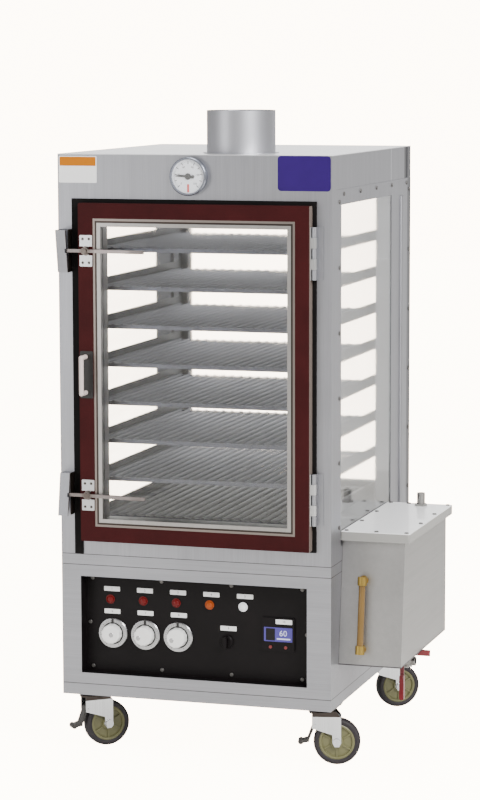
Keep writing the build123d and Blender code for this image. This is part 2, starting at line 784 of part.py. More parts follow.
def tank_stem_top():
    return TANK_DRAIN_AT_Z + VALVE_R + HEX_LEN


def pan_drain_lever():
    """Hangs down in front of the pan's drain valve."""
    x = BODY_W + PAN_VALVE_X
    z = PAN_DRAIN_AT_Z
    y1 = PAN_DRAIN_Y - VALVE_R - MOVE_GAP
    y0 = y1 - DRAIN_LEVER_T
    half = DRAIN_LEVER_W / 2
    grip = DRAIN_GRIP_W / 2
    eye = rod_y(half + 3, x, y0, y1, z)
    bar = block(x - half, x + half, y0, y1, z - PAN_LEVER_LEN / 2, z)
    proud = (DRAIN_GRIP_T - DRAIN_LEVER_T) / 2
    sleeve = block(x - grip, x + grip, y0 - proud, y1 + proud, z - PAN_LEVER_LEN, z - PAN_LEVER_LEN / 3)
    sleeve = fillet(sleeve.edges().filter_by(Axis.Y), grip * 0.8)
    lever = eye + bar + sleeve
    return lever - rod_y(VALVE_STEM_R + RUN_GAP, x, y0 - 1, y1 + 1, z)


def tank_drain_lever():
    """Lies level over the tank's drain valve and points away from the cabinet."""
    x = BODY_W + TANK_VALVE_X
    z0 = TANK_DRAIN_AT_Z + VALVE_R + MOVE_GAP
    z1 = z0 + DRAIN_LEVER_T
    half = DRAIN_LEVER_W / 2
    grip = DRAIN_GRIP_W / 2
    y = TANK_DRAIN_Y
    eye = rod_z(half + 3, x, y, z0, z1)
    bar = block(x, x + TANK_LEVER_LEN / 2, y - half, y + half, z0, z1)
    sleeve = block(x + TANK_LEVER_LEN / 3, x + TANK_LEVER_LEN, y - grip, y + grip, z0 - 1,
                   z0 - 1 + DRAIN_GRIP_T)
    sleeve = fillet(sleeve.edges().filter_by(Axis.Z), grip * 0.8)
    lever = eye + bar + sleeve
    return lever - rod_z(VALVE_STEM_R + RUN_GAP, x, y, z0 - 1, z1 + 1)


# Shelves

def tube_shelf(top, rod_r, rod_pitch):
    """A frame of rails with round rods lying across it from front to back."""
    rail_top = top - SHELF_CREST
    rail_low = rail_top - SHELF_RAIL_H
    outer = block(SHELF_X0, SHELF_X1, SHELF_Y0, SHELF_Y1, rail_low, rail_top)
    inner = block(SHELF_X0 + SHELF_RAIL_W, SHELF_X1 - SHELF_RAIL_W, SHELF_Y0 + SHELF_RAIL_W,
                  SHELF_Y1 - SHELF_RAIL_W, rail_low - 1, rail_top + 1)
    shelf = outer - inner
    middle = (SHELF_X0 + SHELF_X1) / 2
    room = SHELF_X1 - SHELF_X0 - 2 * SHELF_RAIL_W - 2 * rod_r
    count = int(room // rod_pitch) + 1
    for i in range(count):
        x = middle + rod_pitch * (i - (count - 1) / 2)
        shelf = shelf + rod_y(rod_r, x, SHELF_Y0 + 1, SHELF_Y1 - 1, top - rod_r)
    return shelf


def shelf_top(level):
    return Z_TOP - SHELF_TOP_DROP - level * SHELF_PITCH


def wire_shelves():
    first = tube_shelf(shelf_top(0), SHELF_ROD_R, SHELF_ROD_PITCH)
    return group([Pos(0, 0, -level * SHELF_PITCH) * first for level in range(SHELF_COUNT)])


def floor_grid():
    return tube_shelf(shelf_top(SHELF_COUNT), GRID_ROD_R, GRID_ROD_PITCH)


def shelf_rack():
    """Left rack: two posts on the deck, joined by one angled runner for each shelf and the floor grid."""
    post_x1 = SHELF_X0 - RACK_GAP
    post_x0 = post_x1 - RACK_POST_W
    top = shelf_top(0) + RUNNER_H
    rack = block(post_x0, post_x1, RACK_Y0, RACK_Y0 + RACK_POST_D, Z_CHAMBER, top)
    rack = rack + block(post_x0, post_x1, RACK_Y1 - RACK_POST_D, RACK_Y1, Z_CHAMBER, top)
    for level in range(SHELF_COUNT + 1):
        seat = shelf_top(level) - SHELF_CREST - SHELF_RAIL_H
        low = seat - RUNNER_T
        ledge = block(post_x1, post_x1 + RACK_GAP + RUNNER_LEDGE, RACK_Y0, RACK_Y1, low, seat)
        web = block(post_x1, post_x1 + RUNNER_T, RACK_Y0, RACK_Y1, low, low + RUNNER_H)
        rack = rack + ledge + web
    return rack


def shelf_racks():
    left = shelf_rack()
    right = Pos(BODY_W, 0, 0) * mirror(left, about=Plane.YZ)
    return group([left, right])


# Control panel

def panel_screw_places():
    x0 = PANEL_X0 + PANEL_SCREW_EDGE + 6
    x1 = PANEL_X1 - PANEL_SCREW_EDGE - 10
    low = Z_LOWER + PANEL_Z0 + PANEL_SCREW_EDGE
    high = Z_LOWER + PANEL_Z1 - PANEL_SCREW_EDGE
    places = []
    for x in spread(x0, x1, PANEL_SCREWS):
        places.append((x, PANEL_Y, low))
        places.append((x, PANEL_Y, high))
    middle = (low + high) / 2
    places.append((PANEL_X0 + PANEL_SCREW_EDGE, PANEL_Y, middle))
    places.append((PANEL_X1 - PANEL_SCREW_EDGE, PANEL_Y, middle))
    return places


def dial_xs():
    return [DIAL_X + DIAL_PITCH * i for i in range(DIAL_COUNT)]


def control_panel():
    """Black tray set back in the housing's front, with its flange behind the front sheet."""
    z0 = Z_LOWER + PANEL_Z0
    z1 = Z_LOWER + PANEL_Z1
    tray = block(PANEL_X0 - SHEET, PANEL_X1 + SHEET, SHEET, PANEL_BACK, z0 - SHEET, z1 + SHEET)
    tray = tray + block(PANEL_X0 - PANEL_FLANGE, PANEL_X1 + PANEL_FLANGE, SHEET, 2 * SHEET,
                        z0 - PANEL_FLANGE, z1 + PANEL_FLANGE)
    tray = tray - block(PANEL_X0, PANEL_X1, 0, PANEL_Y, z0, z1)
    for hole in screw_holes(panel_screw_places(), "-Y"):
        tray = tray - hole
    for x in dial_xs():
        tray = tray - rod_y(SHAFT_R + RUN_GAP, x, PANEL_Y - 1, PANEL_BACK + 1, Z_LOWER + DIAL_Z)
    tray = tray - rod_y(SHAFT_R + RUN_GAP, SELECTOR_X, PANEL_Y - 1, PANEL_BACK + 1, Z_LOWER + SELECTOR_Z)
    for i in range(LAMP_COUNT):
        tray = tray - rod_y(LAMP_BODY_R + RUN_GAP, LAMP_X + LAMP_PITCH * i, PANEL_Y - 1, PANEL_BACK + 1,
                            Z_LOWER + LAMP_Z)
    half = TIMER_BODY_W / 2 + RUN_GAP
    z = Z_LOWER + TIMER_Z
    return tray - block(TIMER_X - half, TIMER_X + half, PANEL_Y - 1, PANEL_BACK + 1, z - half, z + half)


def indicator_lamps():
    lamps = []
    z = Z_LOWER + LAMP_Z
    dome_end = -LAMP_FLANGE_T - LAMP_DOME_T
    outline = [(0, dome_end), (LAMP_DOME_R * 0.55, dome_end + 0.8), (LAMP_DOME_R * 0.9, dome_end + 2.5),
               (LAMP_DOME_R, -LAMP_FLANGE_T), (LAMP_R, -LAMP_FLANGE_T), (LAMP_R, 0), (LAMP_BODY_R, 0),
               (LAMP_BODY_R, LAMP_BODY_LEN), (0, LAMP_BODY_LEN)]
    for i in range(LAMP_COUNT):
        lamps.append(spin_y(outline, LAMP_X + LAMP_PITCH * i, PANEL_Y, z))
    return group(lamps)


def timer_body():
    """Square panel timer with a sunk display and two button wells below it."""
    z = Z_LOWER + TIMER_Z
    half = TIMER_W / 2
    front = PANEL_Y - TIMER_BEZEL_T
    timer = block(TIMER_X - half, TIMER_X + half, front, PANEL_Y, z - half, z + half)
    timer = fillet(timer.edges().filter_by(Axis.Y), 3)
    inner = TIMER_BODY_W / 2
    back = PANEL_BACK + TIMER_BODY_LEN
    timer = timer + block(TIMER_X - inner, TIMER_X + inner, PANEL_Y, back, z - inner, z + inner)
    timer = timer - block(TIMER_X - DISPLAY_W / 2, TIMER_X + DISPLAY_W / 2, front - 1, front + DISPLAY_SET,
                          z - DISPLAY_H / 2, z + DISPLAY_H / 2)
    well = front + BUTTON_LEN - BUTTON_PROUD + BUTTON_TRAVEL + MOVE_GAP
    for x in (TIMER_X - BUTTON_SPREAD, TIMER_X + BUTTON_SPREAD):
        timer = timer - rod_y(BUTTON_R + RUN_GAP, x, front - 1, well, z - BUTTON_DROP)
    return timer


def timer_button(x):
    front = PANEL_Y - TIMER_BEZEL_T - BUTTON_PROUD
    button = rod_y(BUTTON_R, x, front, front + BUTTON_LEN, Z_LOWER + TIMER_Z - BUTTON_DROP)
    return fillet(button.edges().group_by(Axis.Y)[0], 0.8)


def thermostat_knob(x):
    """Dial skirt, hand knob and shaft of one thermostat."""
    back = -DIAL_LIFT
    skirt = back - DIAL_T
    outline = [(0, skirt - KNOB_T), (KNOB_R - 2.5, skirt - KNOB_T), (KNOB_R, skirt - KNOB_T + 2.5),
               (KNOB_R, skirt), (DIAL_R - 2, skirt), (DIAL_R, skirt + 2), (DIAL_R, back),
               (SHAFT_R, back), (SHAFT_R, SHAFT_LEN), (0, SHAFT_LEN)]
    return spin_y(outline, x, PANEL_Y, Z_LOWER + DIAL_Z)


def selector_knob():
    back = -DIAL_LIFT
    front = back - SELECTOR_T
    outline = [(0, front), (SELECTOR_R - 1.5, front), (SELECTOR_R, front + 1.5), (SELECTOR_R, back),
               (SHAFT_R, back), (SHAFT_R, SHAFT_LEN), (0, SHAFT_LEN)]
    z = Z_LOWER + SELECTOR_Z
    knob = spin_y(outline, SELECTOR_X, PANEL_Y, z)
    top = PANEL_Y + back - SELECTOR_T
    half = SELECTOR_GRIP_W / 2
    reach = SELECTOR_R - 2
    grip = block(SELECTOR_X - half, SELECTOR_X + half, top - SELECTOR_GRIP_T, top, z - reach, z + reach)
    grip = fillet(grip.edges().filter_by(Axis.Y), 2.5)
    return knob + grip


def control_gear():
    """Thermostat and switch bodies behind the panel, and the contactor plate on the base."""
    pieces = []
    half = STAT_W / 2
    shafts = [(x, Z_LOWER + DIAL_Z) for x in dial_xs()] + [(SELECTOR_X, Z_LOWER + SELECTOR_Z)]
    for x, z in shafts:
        body = block(x - half, x + half, PANEL_BACK, PANEL_BACK + STAT_LEN, z - half, z + half)
        body = body - rod_y(SHAFT_R + RUN_GAP, x, PANEL_BACK - 1, PANEL_Y + SHAFT_LEN + MOVE_GAP, z)
        pieces.append(body)
    floor = Z_BASE + SHEET
    plate_top = floor + GEAR_PLATE_T
    plate = block(GEAR_X0, GEAR_X0 + GEAR_PLATE_W, GEAR_Y0, GEAR_Y0 + GEAR_PLATE_D, floor, plate_top)
    pieces.append(plate)
    y0 = GEAR_Y0 + GEAR_EDGE_Y
    y1 = y0 + CONTACTOR_D
    for i in range(CONTACTOR_COUNT):
        x = GEAR_X0 + GEAR_EDGE_X + i * CONTACTOR_PITCH
        base = block(x, x + CONTACTOR_W, y0, y1, plate_top, plate_top + CONTACTOR_H * 0.6)
        nose = block(x + NOSE_STEP_X, x + CONTACTOR_W - NOSE_STEP_X, y0 + NOSE_STEP_Y, y1 - NOSE_STEP_Y,
                     plate_top + CONTACTOR_H * 0.6, plate_top + CONTACTOR_H)
        pieces.append(base + nose)
    x = GEAR_X0 + GEAR_EDGE_X + CONTACTOR_COUNT * CONTACTOR_PITCH
    pieces.append(block(x, x + TERMINAL_W, y0, y1, plate_top, plate_top + TERMINAL_H))
    return group(pieces)


def cable_gland():
    """Gland for the supply cable in the housing's back."""
    z = Z_LOWER + GLAND_Z
    body = rod_y(GLAND_R - 2.1, GLAND_X, BODY_D - SHEET - GLAND_IN, BODY_D + 1, z)
    nut = extrude(RegularPolygon(GLAND_R, 6), GLAND_OUT * 0.55)
    body = body + Pos(GLAND_X, BODY_D, z) * Rot(-90, 0, 0) * nut
    cap = rod_y(GLAND_R * 0.8, GLAND_X, BODY_D + GLAND_OUT * 0.5, BODY_D + GLAND_OUT, z)
    cap = fillet(cap.edges().group_by(Axis.Y)[-1], 2)
    lock = Pos(GLAND_X, BODY_D - SHEET - 5, z) * Rot(-90, 0, 0) * extrude(RegularPolygon(GLAND_R, 6), 5)
    body = body + cap + lock
    return body - rod_y(GLAND_BORE_R, GLAND_X, BODY_D - SHEET - GLAND_IN - 1, BODY_D + GLAND_OUT + 1, z)


# Water tank

def tank_side_outline(grow, low, high):
    """The tank's side seen along X: an upright back and a front that leans out towards the bottom."""
    rise = TANK_RIM - TANK_Z0
    front_low = TANK_Y0 - TANK_LEAN * (TANK_RIM - low) / rise + grow
    front_high = TANK_Y0 - TANK_LEAN * (TANK_RIM - high) / rise + grow
    return [(front_low, low), (TANK_Y1 - grow, low), (TANK_Y1 - grow, high), (front_high, high)]


def tank_front_y(z):
    return TANK_Y0 - TANK_LEAN * (TANK_RIM - z) / (TANK_RIM - TANK_Z0)


def sight_zs():
    return (TANK_Z0 + SIGHT_LOW, TANK_Z0 + SIGHT_HIGH)


def tank_body():
    tank = prism_yz(tank_side_outline(0, TANK_Z0, TANK_RIM), TANK_X0, TANK_X1)
    flange = block(TANK_X0, TANK_X1 + TANK_OVER - SHEET - SEAL_GAP, TANK_LID_Y0 + SHEET + SEAL_GAP,
                   TANK_LID_Y1 - SHEET - SEAL_GAP, TANK_RIM, TANK_RIM + TANK_FLANGE_T)
    tank = tank + flange
    hollow = tank_side_outline(SHEET, TANK_Z0 + SHEET, TANK_RIM + TANK_FLANGE_T + 1)
    inside = prism_yz(hollow, TANK_X0 + SHEET, TANK_X1 - SHEET)
    tank = tank - inside
    for z in sight_zs():
        front = tank_front_y(z)
        tank = tank - rod_y(SIGHT_NIPPLE_R * 0.6, TANK_X0 + SIGHT_X, front - 5, front + 5, z)
    x = TANK_X0 + TANK_DRAIN_X
    return tank - rod_z(PIPE_BORE_R, x, TANK_DRAIN_Y, TANK_Z0 - 1, TANK_Z0 + SHEET + 1)


def lid_screw_places():
    z = TANK_Z1
    x0 = TANK_X0 + TANK_SCREW_EDGE
    x1 = TANK_X0 + TANK_LID_W - TANK_SCREW_EDGE
    y0 = TANK_LID_Y0 + TANK_SCREW_EDGE
    y1 = TANK_LID_Y1 - TANK_SCREW_EDGE
    places = []
    for y in spread(y0, y1, 4):
        places.append((x0, y, z))
        places.append((x1, y, z))
    middle = (x0 + x1) / 2
    places.append((middle, y0, z))
    places.append((middle - 24, y1, z))
    return places


def fill_place():
    return TANK_X0 + FILL_X, TANK_LID_Y1 - FILL_EDGE - TANK_OVER


def tank_lid():
    lid = block(TANK_X0, TANK_X0 + TANK_LID_W, TANK_LID_Y0, TANK_LID_Y1, TANK_Z1 - TANK_LID_H, TANK_Z1)
    outer = lid.edges().filter_by(Axis.Z).group_by(Axis.X)[-1]
    lid = fillet(outer, 4)
    lid = lid - block(TANK_X0 - 1, TANK_X0 + TANK_LID_W - SHEET, TANK_LID_Y0 + SHEET, TANK_LID_Y1 - SHEET,
                      TANK_Z1 - TANK_LID_H - 1, TANK_Z1 - SHEET)
    for hole in screw_holes(lid_screw_places(), "+Z"):
        lid = lid - hole
    x, y = fill_place()
    return lid - rod_z(FILL_R + RUN_GAP, x, y, TANK_Z1 - SHEET - 1, TANK_Z1 + 1)


def float_pivot():
    x, y = fill_place()
    return x, y - FLOAT_BODY_W / 2 - 6, TANK_Z1 - SHEET - FLOAT_PIVOT_DROP


def inlet_valve():
    """Water inlet stub on the lid, with the float valve's body and pivot lugs under the lid."""
    x, y = fill_place()
    half = FLOAT_BODY_W / 2
    under = TANK_Z1 - SHEET
    valve = rod_z(FILL_R, x, y, under - 1, TANK_Z1 + FILL_UP)
    valve = valve + Pos(x, y, TANK_Z1) * extrude(RegularPolygon(FILL_NUT_R, 6), FILL_NUT_T)
    valve = valve + block(x - half, x + half, y - half, y + half, under - FLOAT_BODY_H, under)
    valve = valve - rod_z(FILL_BORE_R, x, y, under - FLOAT_BODY_H * 0.7, TANK_Z1 + FILL_UP + 1)
    px, py, pz = float_pivot()
    for side in (-1, 1):
        lug = block(px + side * 8 - 2, px + side * 8 + 2, py - 6, y - half + 1, pz - 6, pz + 6)
        valve = valve + lug
    return valve + rod_x(FLOAT_PIN_R, px - 10, px + 10, py, pz)


def float_arm():
    """Float ball and arm, drooping as it hangs in an empty tank."""
    px, py, pz = float_pivot()
    eye = rod_x(6, px - 5.5, px + 5.5, py, pz) - rod_x(FLOAT_PIN_R + RUN_GAP, px - 7, px + 7, py, pz)
    angle = math.radians(FLOAT_DROOP)
    end_y = py - FLOAT_ARM_LEN * math.cos(angle)
    end_z = pz - FLOAT_ARM_LEN * math.sin(angle)
    start_y = py - 5 * math.cos(angle)
    start_z = pz - 5 * math.sin(angle)
    length = FLOAT_ARM_LEN - 5
    arm = Pos(px, (start_y + end_y) / 2, (start_z + end_z) / 2) * Rot(90 + FLOAT_DROOP, 0, 0) \
        * Cylinder(FLOAT_ARM_R, length)
    ball = Pos(px, end_y, end_z) * Sphere(FLOAT_BALL_R)
    return eye + arm + ball


def sight_tube():
    z0, z1 = sight_zs()
    low = z0 + SIGHT_FIT_H / 2
    high = z1 - SIGHT_FIT_H / 2
    return lean_rod(SIGHT_TUBE_R, low, high) - lean_rod(SIGHT_TUBE_R - SIGHT_TUBE_WALL, low - 2, high + 2)


def lean_rod(radius, z0, z1):
    """A rod alongside the tank's leaning front, between two heights."""
    slope = TANK_LEAN / (TANK_RIM - TANK_Z0)
    angle = math.degrees(math.atan(slope))
    middle = (z0 + z1) / 2
    y = tank_front_y(middle) - SIGHT_OUT
    length = (z1 - z0) / math.cos(math.radians(angle))
    return Pos(TANK_X0 + SIGHT_X, y, middle) * Rot(-angle, 0, 0) * Cylinder(radius, length)


def sight_fittings():
    """Brass elbows that carry the sight tube at its two ends."""
    fittings = []
    x = TANK_X0 + SIGHT_X
    for z in sight_zs():
        y = tank_front_y(z)
        nut = lean_rod(SIGHT_FIT_R, z - SIGHT_FIT_H / 2, z + SIGHT_FIT_H / 2)
        nipple = rod_y(SIGHT_NIPPLE_R, x, y - SIGHT_OUT, y - 1, z)
        nipple = nipple + rod_y(SIGHT_FIT_R, x, y - 5, y - 1.5, z)
        wall = prism_yz(tank_side_outline(0, TANK_Z0, TANK_RIM), TANK_X0, TANK_X1)
        stem = rod_y(SIGHT_NIPPLE_R, x, y - SIGHT_OUT, y + 4, z) - wall
        fittings.append(nut + nipple + stem)
    return group(fittings)


# Door

def door_band():
    return DOOR_LEFT, DOOR_RIGHT, DOOR_Z0, DOOR_Z1


def door_frame():
    """Painted channel frame of the door, open at its back."""
    x0, x1, z0, z1 = door_band()
    frame = ring(x0, x1, z0, z1, BAND_W, BAND_W, BAND_W, BAND_W, DOOR_FACE, DOOR_BACK)
    upright = frame.edges().filter_by(Axis.Y).group_by(Axis.X)
    frame = fillet(upright[0] + upright[-1], DOOR_CORNER_R)
    wall = DOOR_WALL
    channel = ring(x0 + wall, x1 - wall, z0 + wall, z1 - wall, BAND_W - 2 * wall, BAND_W - 2 * wall,
                   BAND_W - 2 * wall, BAND_W - 2 * wall, DOOR_FACE + wall, DOOR_BACK + 1)
    return frame - channel


def door_ring(inset, width, y0, y1):
    """A ring inside the door's outline, inset by one amount and as wide as another."""
    x0, x1, z0, z1 = door_band()
    return ring(x0 + inset, x1 - inset, z0 + inset, z1 - inset, width, width, width, width, y0, y1)


def door_bezel():
    """Stainless inner frame that reaches into the mouth, and the spacer between its two panes."""
    face = DOOR_FACE + BEZEL_SET
    wall = DOOR_WALL
    bezel = door_ring(BAND_W, BEZEL_W, face, GLASS_FACE)
    bezel = bezel - door_ring(BAND_W + wall, BEZEL_W - 2 * wall, face + wall, GLASS_FACE + 1)
    bezel = bezel + door_ring(BAND_W, wall, face, BEZEL_DEEP)
    start = BAND_W + wall + GLASS_GAP
    width = BEZEL_W - wall - GLASS_GAP
    spacer = door_ring(start, width, GLASS_BACK, REAR_GLASS_FACE)
    spacer = spacer - door_ring(start + wall, width - 2 * wall, GLASS_BACK - 1, REAR_GLASS_FACE - wall)
    return group([bezel, spacer])


def door_glass():
    """Front and rear panes, with the spacer between them."""
    x0, x1, z0, z1 = door_band()
    inner = BAND_W + DOOR_WALL + GLASS_GAP
    front = block(x0 + inner, x1 - inner, GLASS_FACE, GLASS_BACK, z0 + inner, z1 - inner)
    return group([front, Pos(0, REAR_GLASS_FACE - GLASS_FACE, 0) * front])


def door_gasket():
    """Rubber ring on the front frame that the door closes on. Its left side runs on down to the deck."""
    x0, x1, z0, z1 = door_band()
    left = x0 - GASKET_LEFT
    right = x1 + GASKET_RIGHT
    inner_x0 = MOUTH_SIDE + GASKET_LIP_X
    inner_x1 = MOUTH_X1 - GASKET_LIP_X
    inner_z0 = Z_CHAMBER + MOUTH_SILL + GASKET_LIP_Z
    inner_z1 = Z_TOP - MOUTH_HEAD - GASKET_LIP_Z
    outer = block(left, right, -GASKET_T, 0, z0 - GASKET_BOTTOM, z1 + GASKET_TOP)
    outer = outer + block(left, left + GASKET_TAIL_W, -GASKET_T, 0, Z_CHAMBER + 1, z0)
    return outer - block(inner_x0, inner_x1, -GASKET_T - 1, 1, inner_z0, inner_z1)


def hinge_zs():
    return (DOOR_Z0 + HINGE_LOW, DOOR_Z1 - HINGE_DROP)


def knuckle_spans(z0):
    """The knuckles' lower and upper ends, with a small gap between neighbours."""
    step = HINGE_LEN / KNUCKLES
    return [(z0 + i * step + KNUCKLE_GAP / 2, z0 + (i + 1) * step - KNUCKLE_GAP / 2) for i in range(KNUCKLES)]


def hinge_post_leaf(z0):
    """Leaf on the post, with its knuckles and the pin they hold."""
    leaf = block(HINGE_X + 2, HINGE_X + 2 + LEAF_W, -LEAF_T, 0, z0, z0 + HINGE_LEN)
    web = block(HINGE_X + KNUCKLE_R - LEAF_T, HINGE_X + KNUCKLE_R, HINGE_Y, 0, z0, z0 + HINGE_LEN)
    for low, high in knuckle_spans(z0)[1::2]:
        web = web - block(HINGE_X - 2 * KNUCKLE_R, HINGE_X + 2 * KNUCKLE_R, HINGE_Y - 2 * KNUCKLE_R,
                          HINGE_Y + KNUCKLE_R + KNUCKLE_GAP, low - KNUCKLE_GAP, high + KNUCKLE_GAP)
    leaf = leaf + web
    for low, high in knuckle_spans(z0)[::2]:
        leaf = leaf + rod_z(KNUCKLE_R, HINGE_X, HINGE_Y, low, high)
    return leaf + rod_z(PIN_R, HINGE_X, HINGE_Y, z0, z0 + HINGE_LEN)


def hinge_door_leaf(z0):
    """Leaf on the door's edge, with the knuckles between the post's."""
    leaf = block(DOOR_RIGHT, DOOR_RIGHT + LEAF_T, DOOR_FACE + 1, DOOR_BACK - 1, z0, z0 + HINGE_LEN)
    for low, high in knuckle_spans(z0)[1::2]:
        arm = block(DOOR_RIGHT, HINGE_X, HINGE_Y - KNUCKLE_R, HINGE_Y - KNUCKLE_R + LEAF_T, low, high)
        leaf = leaf + arm + rod_z(KNUCKLE_R, HINGE_X, HINGE_Y, low, high)
    for low, high in knuckle_spans(z0)[1::2]:
        leaf = leaf - rod_z(PIN_R + RUN_GAP, HINGE_X, HINGE_Y, low - 1, high + 1)
    return leaf


def hinge_post_leaves():
    return group([hinge_post_leaf(z) for z in hinge_zs()])


def hinge_door_leaves():
    return group([hinge_door_leaf(z) for z in hinge_zs()])


def door_pull():
    """Black backing plate and the bar handle on it."""
    z = DOOR_Z0 + PULL_Z
    face = DOOR_FACE - PULL_PLATE_T
    half_w = PULL_PLATE_W / 2
    half_h = PULL_PLATE_H / 2
    plate = block(PULL_X - half_w, PULL_X + half_w, face, DOOR_FACE, z - half_h, z + half_h)
    plate = fillet(plate.edges().filter_by(Axis.Y), 3)
    x = PULL_X - PULL_SIDE
    reach = PULL_LEN / 2
    out = face - PULL_OUT
    bar = rod_z(PULL_BAR_R, x, out, z - reach, z + reach)
    for end in (z - reach, z + reach):
        bar = bar + rod_y(PULL_BAR_R, x, out, face, end) + Pos(x, out, end) * Sphere(PULL_BAR_R)
    return group([plate, bar])


# Latches

def latch_zs():
    return (DOOR_Z0 + LATCH_LOW, DOOR_Z1 - LATCH_DROP)


def latch_plate(z):
    """Waisted plate on the door, with the stud that a lever turns on."""
    half_w = LATCH_PLATE_W / 2
    half_h = LATCH_PLATE_H / 2
    plate = block(LATCH_X - half_w, LATCH_X + half_w, LATCH_FACE, DOOR_FACE, z - half_h, z + half_h)
    plate = fillet(plate.edges().filter_by(Axis.Y), 2)
    for side in (-1, 1):
        x = LATCH_X + side * (LATCH_WAIST_W + LATCH_PLATE_W) / 2
        cut = LATCH_PLATE_W / 2
        plate = plate - block(x - cut, x + cut, LATCH_FACE - 1, DOOR_FACE + 1, z - LATCH_WAIST_H / 2,
                              z + LATCH_WAIST_H / 2)
    head_seat = LEVER_BACK - HUB_T - MOVE_GAP
    stud = rod_y(STUD_R, LATCH_X, head_seat - 1, LATCH_FACE, z)
    head = rod_y(STUD_HEAD_R, LATCH_X, head_seat - STUD_HEAD_T, head_seat, z)
    head = fillet(head.edges().group_by(Axis.Y)[0], 1)
    return plate + stud + head


def latch_plates():
    return group([latch_plate(z) for z in latch_zs()])


def latch_lever(z):
    """Level bar with a nose for the keeper, a hub on the stud and a grip that stands off the door."""
    back = LEVER_BACK
    half = LEVER_BAR / 2
    nose = block(LATCH_X - NOSE_REACH, LATCH_X, back - NOSE_T, back, z - half, z + half)
    nose = fillet(nose.edges().filter_by(Axis.Y).group_by(Axis.X)[0], half * 0.7)
    hub = rod_y(HUB_R, LATCH_X, back - HUB_T, back, z)
    bend_x = LATCH_X + LEVER_BEND
    end_x = LATCH_X + LEVER_REACH
    low = -LEVER_OUT + LEVER_T
    out = [(LATCH_X, back), (LATCH_X, back - HUB_T), (bend_x - 8, back - HUB_T), (end_x - 30, -LEVER_OUT),
           (end_x, -LEVER_OUT), (end_x, low), (end_x - 28, low), (bend_x - 4, back)]
    arm = prism_xy(out, z - half, z + half)
    lever = nose + hub + arm
    return lever - rod_y(STUD_R + RUN_GAP, LATCH_X, back - HUB_T - 1, back + 1, z)


def upper_latch_lever():
    return latch_lever(latch_zs()[1])


def lower_latch_lever():
    return latch_lever(latch_zs()[0])


def latch_keeper():
    """Upper keeper: a sloped plate held off the post, notched where the level nose passes."""
    z = latch_zs()[1]
    z0 = z - KEEPER_H / 2 - KEEPER_SHIFT
    z1 = z + KEEPER_H / 2 - KEEPER_SHIFT
    x0 = KEEPER_X0
    x1 = KEEPER_X1
    body = prism_yz([(0, z0), (0, z1), (-KEEPER_HIGH, z1), (-KEEPER_LOW, z0)], x0, x1)
    t = KEEPER_T
    front = [(-KEEPER_HIGH + t, z1 + 1), (-KEEPER_LOW + t, z0 + t)]
    inside = prism_yz([(1, z0 + t), (1, z1 + 1)] + front, x0 + t, x1 - t)
    slot_back = LEVER_BACK + KEEPER_SLOT_GAP
    slot = prism_yz([(slot_back, z0 + t), (slot_back, z1 + 1)] + front, x1 - t - 1, x1 + 1)
    half = LEVER_BAR / 2 + NOTCH_GAP
    notch_x = LATCH_X - NOSE_REACH - NOTCH_GAP
    notch = block(notch_x, x1 + 1, -2 * KEEPER_HIGH, slot_back, z - half, z + half)
    return body - inside - slot - notch


def latch_keepers():
    """The upper keeper, and the lower one upside down."""
    upper = latch_keeper()
    low, high = latch_zs()
    lower = Pos(0, 0, low + high) * mirror(upper, about=Plane.XY)
    return group([upper, lower])


# Gauge

def gauge_z():
    return Z_TOP - GAUGE_DROP


def gauge_case():
    """Round case with a raised rim, its dial face and the probe stem behind."""
    rim_in = GAUGE_FACE_R
    dial = -GAUGE_T + GAUGE_DIAL_SET
    front = -GAUGE_T
    outline = [(0, dial), (rim_in, dial), (rim_in, front), (GAUGE_R - 1.5, front), (GAUGE_R, front + 1.5),
               (GAUGE_R, 0), (GAUGE_STEM_R, 0), (GAUGE_STEM_R, GAUGE_STEM_LEN), (0, GAUGE_STEM_LEN)]
    case = spin_y(outline, GAUGE_X, 0, gauge_z())
    hole = rod_y(POINTER_SHAFT_R + RUN_GAP, GAUGE_X, dial - 1, dial + 5, gauge_z())
    return case - hole


def gauge_pointer():
    """Needle with a round counterweight, on a shaft in the case. It points left."""
    z = gauge_z()
    dial = -GAUGE_T + GAUGE_DIAL_SET
    y1 = dial - POINTER_LIFT
    y0 = y1 - POINTER_T
    tip = GAUGE_X - POINTER_R
    tail = GAUGE_X + POINTER_TAIL
    needle = prism_xz([(tip, z - 0.4), (tip, z + 0.4), (GAUGE_X, z + 1.6), (tail, z + 1.2),
                       (tail, z - 1.2), (GAUGE_X, z - 1.6)], y0, y1)
    hub = rod_y(3.5, GAUGE_X, y0 - 0.4, y1, z)
    weight = rod_y(3.2, tail, y0, y1, z)
    shaft = rod_y(POINTER_SHAFT_R, GAUGE_X, y1, dial + 4, z)
    return needle + hub + weight + shaft


# Casters

def caster_places():
    left = CASTER_X
    right = BODY_W - CASTER_X
    front = CASTER_Y
    back = BODY_D - CASTER_Y
    return {"front_left": (left, front), "front_right": (right, front), "rear_left": (left, back),
            "rear_right": (right, back)}


def fork_top():
    return CASTER_H - CASTER_PLATE_T - RACE_H - MOVE_GAP


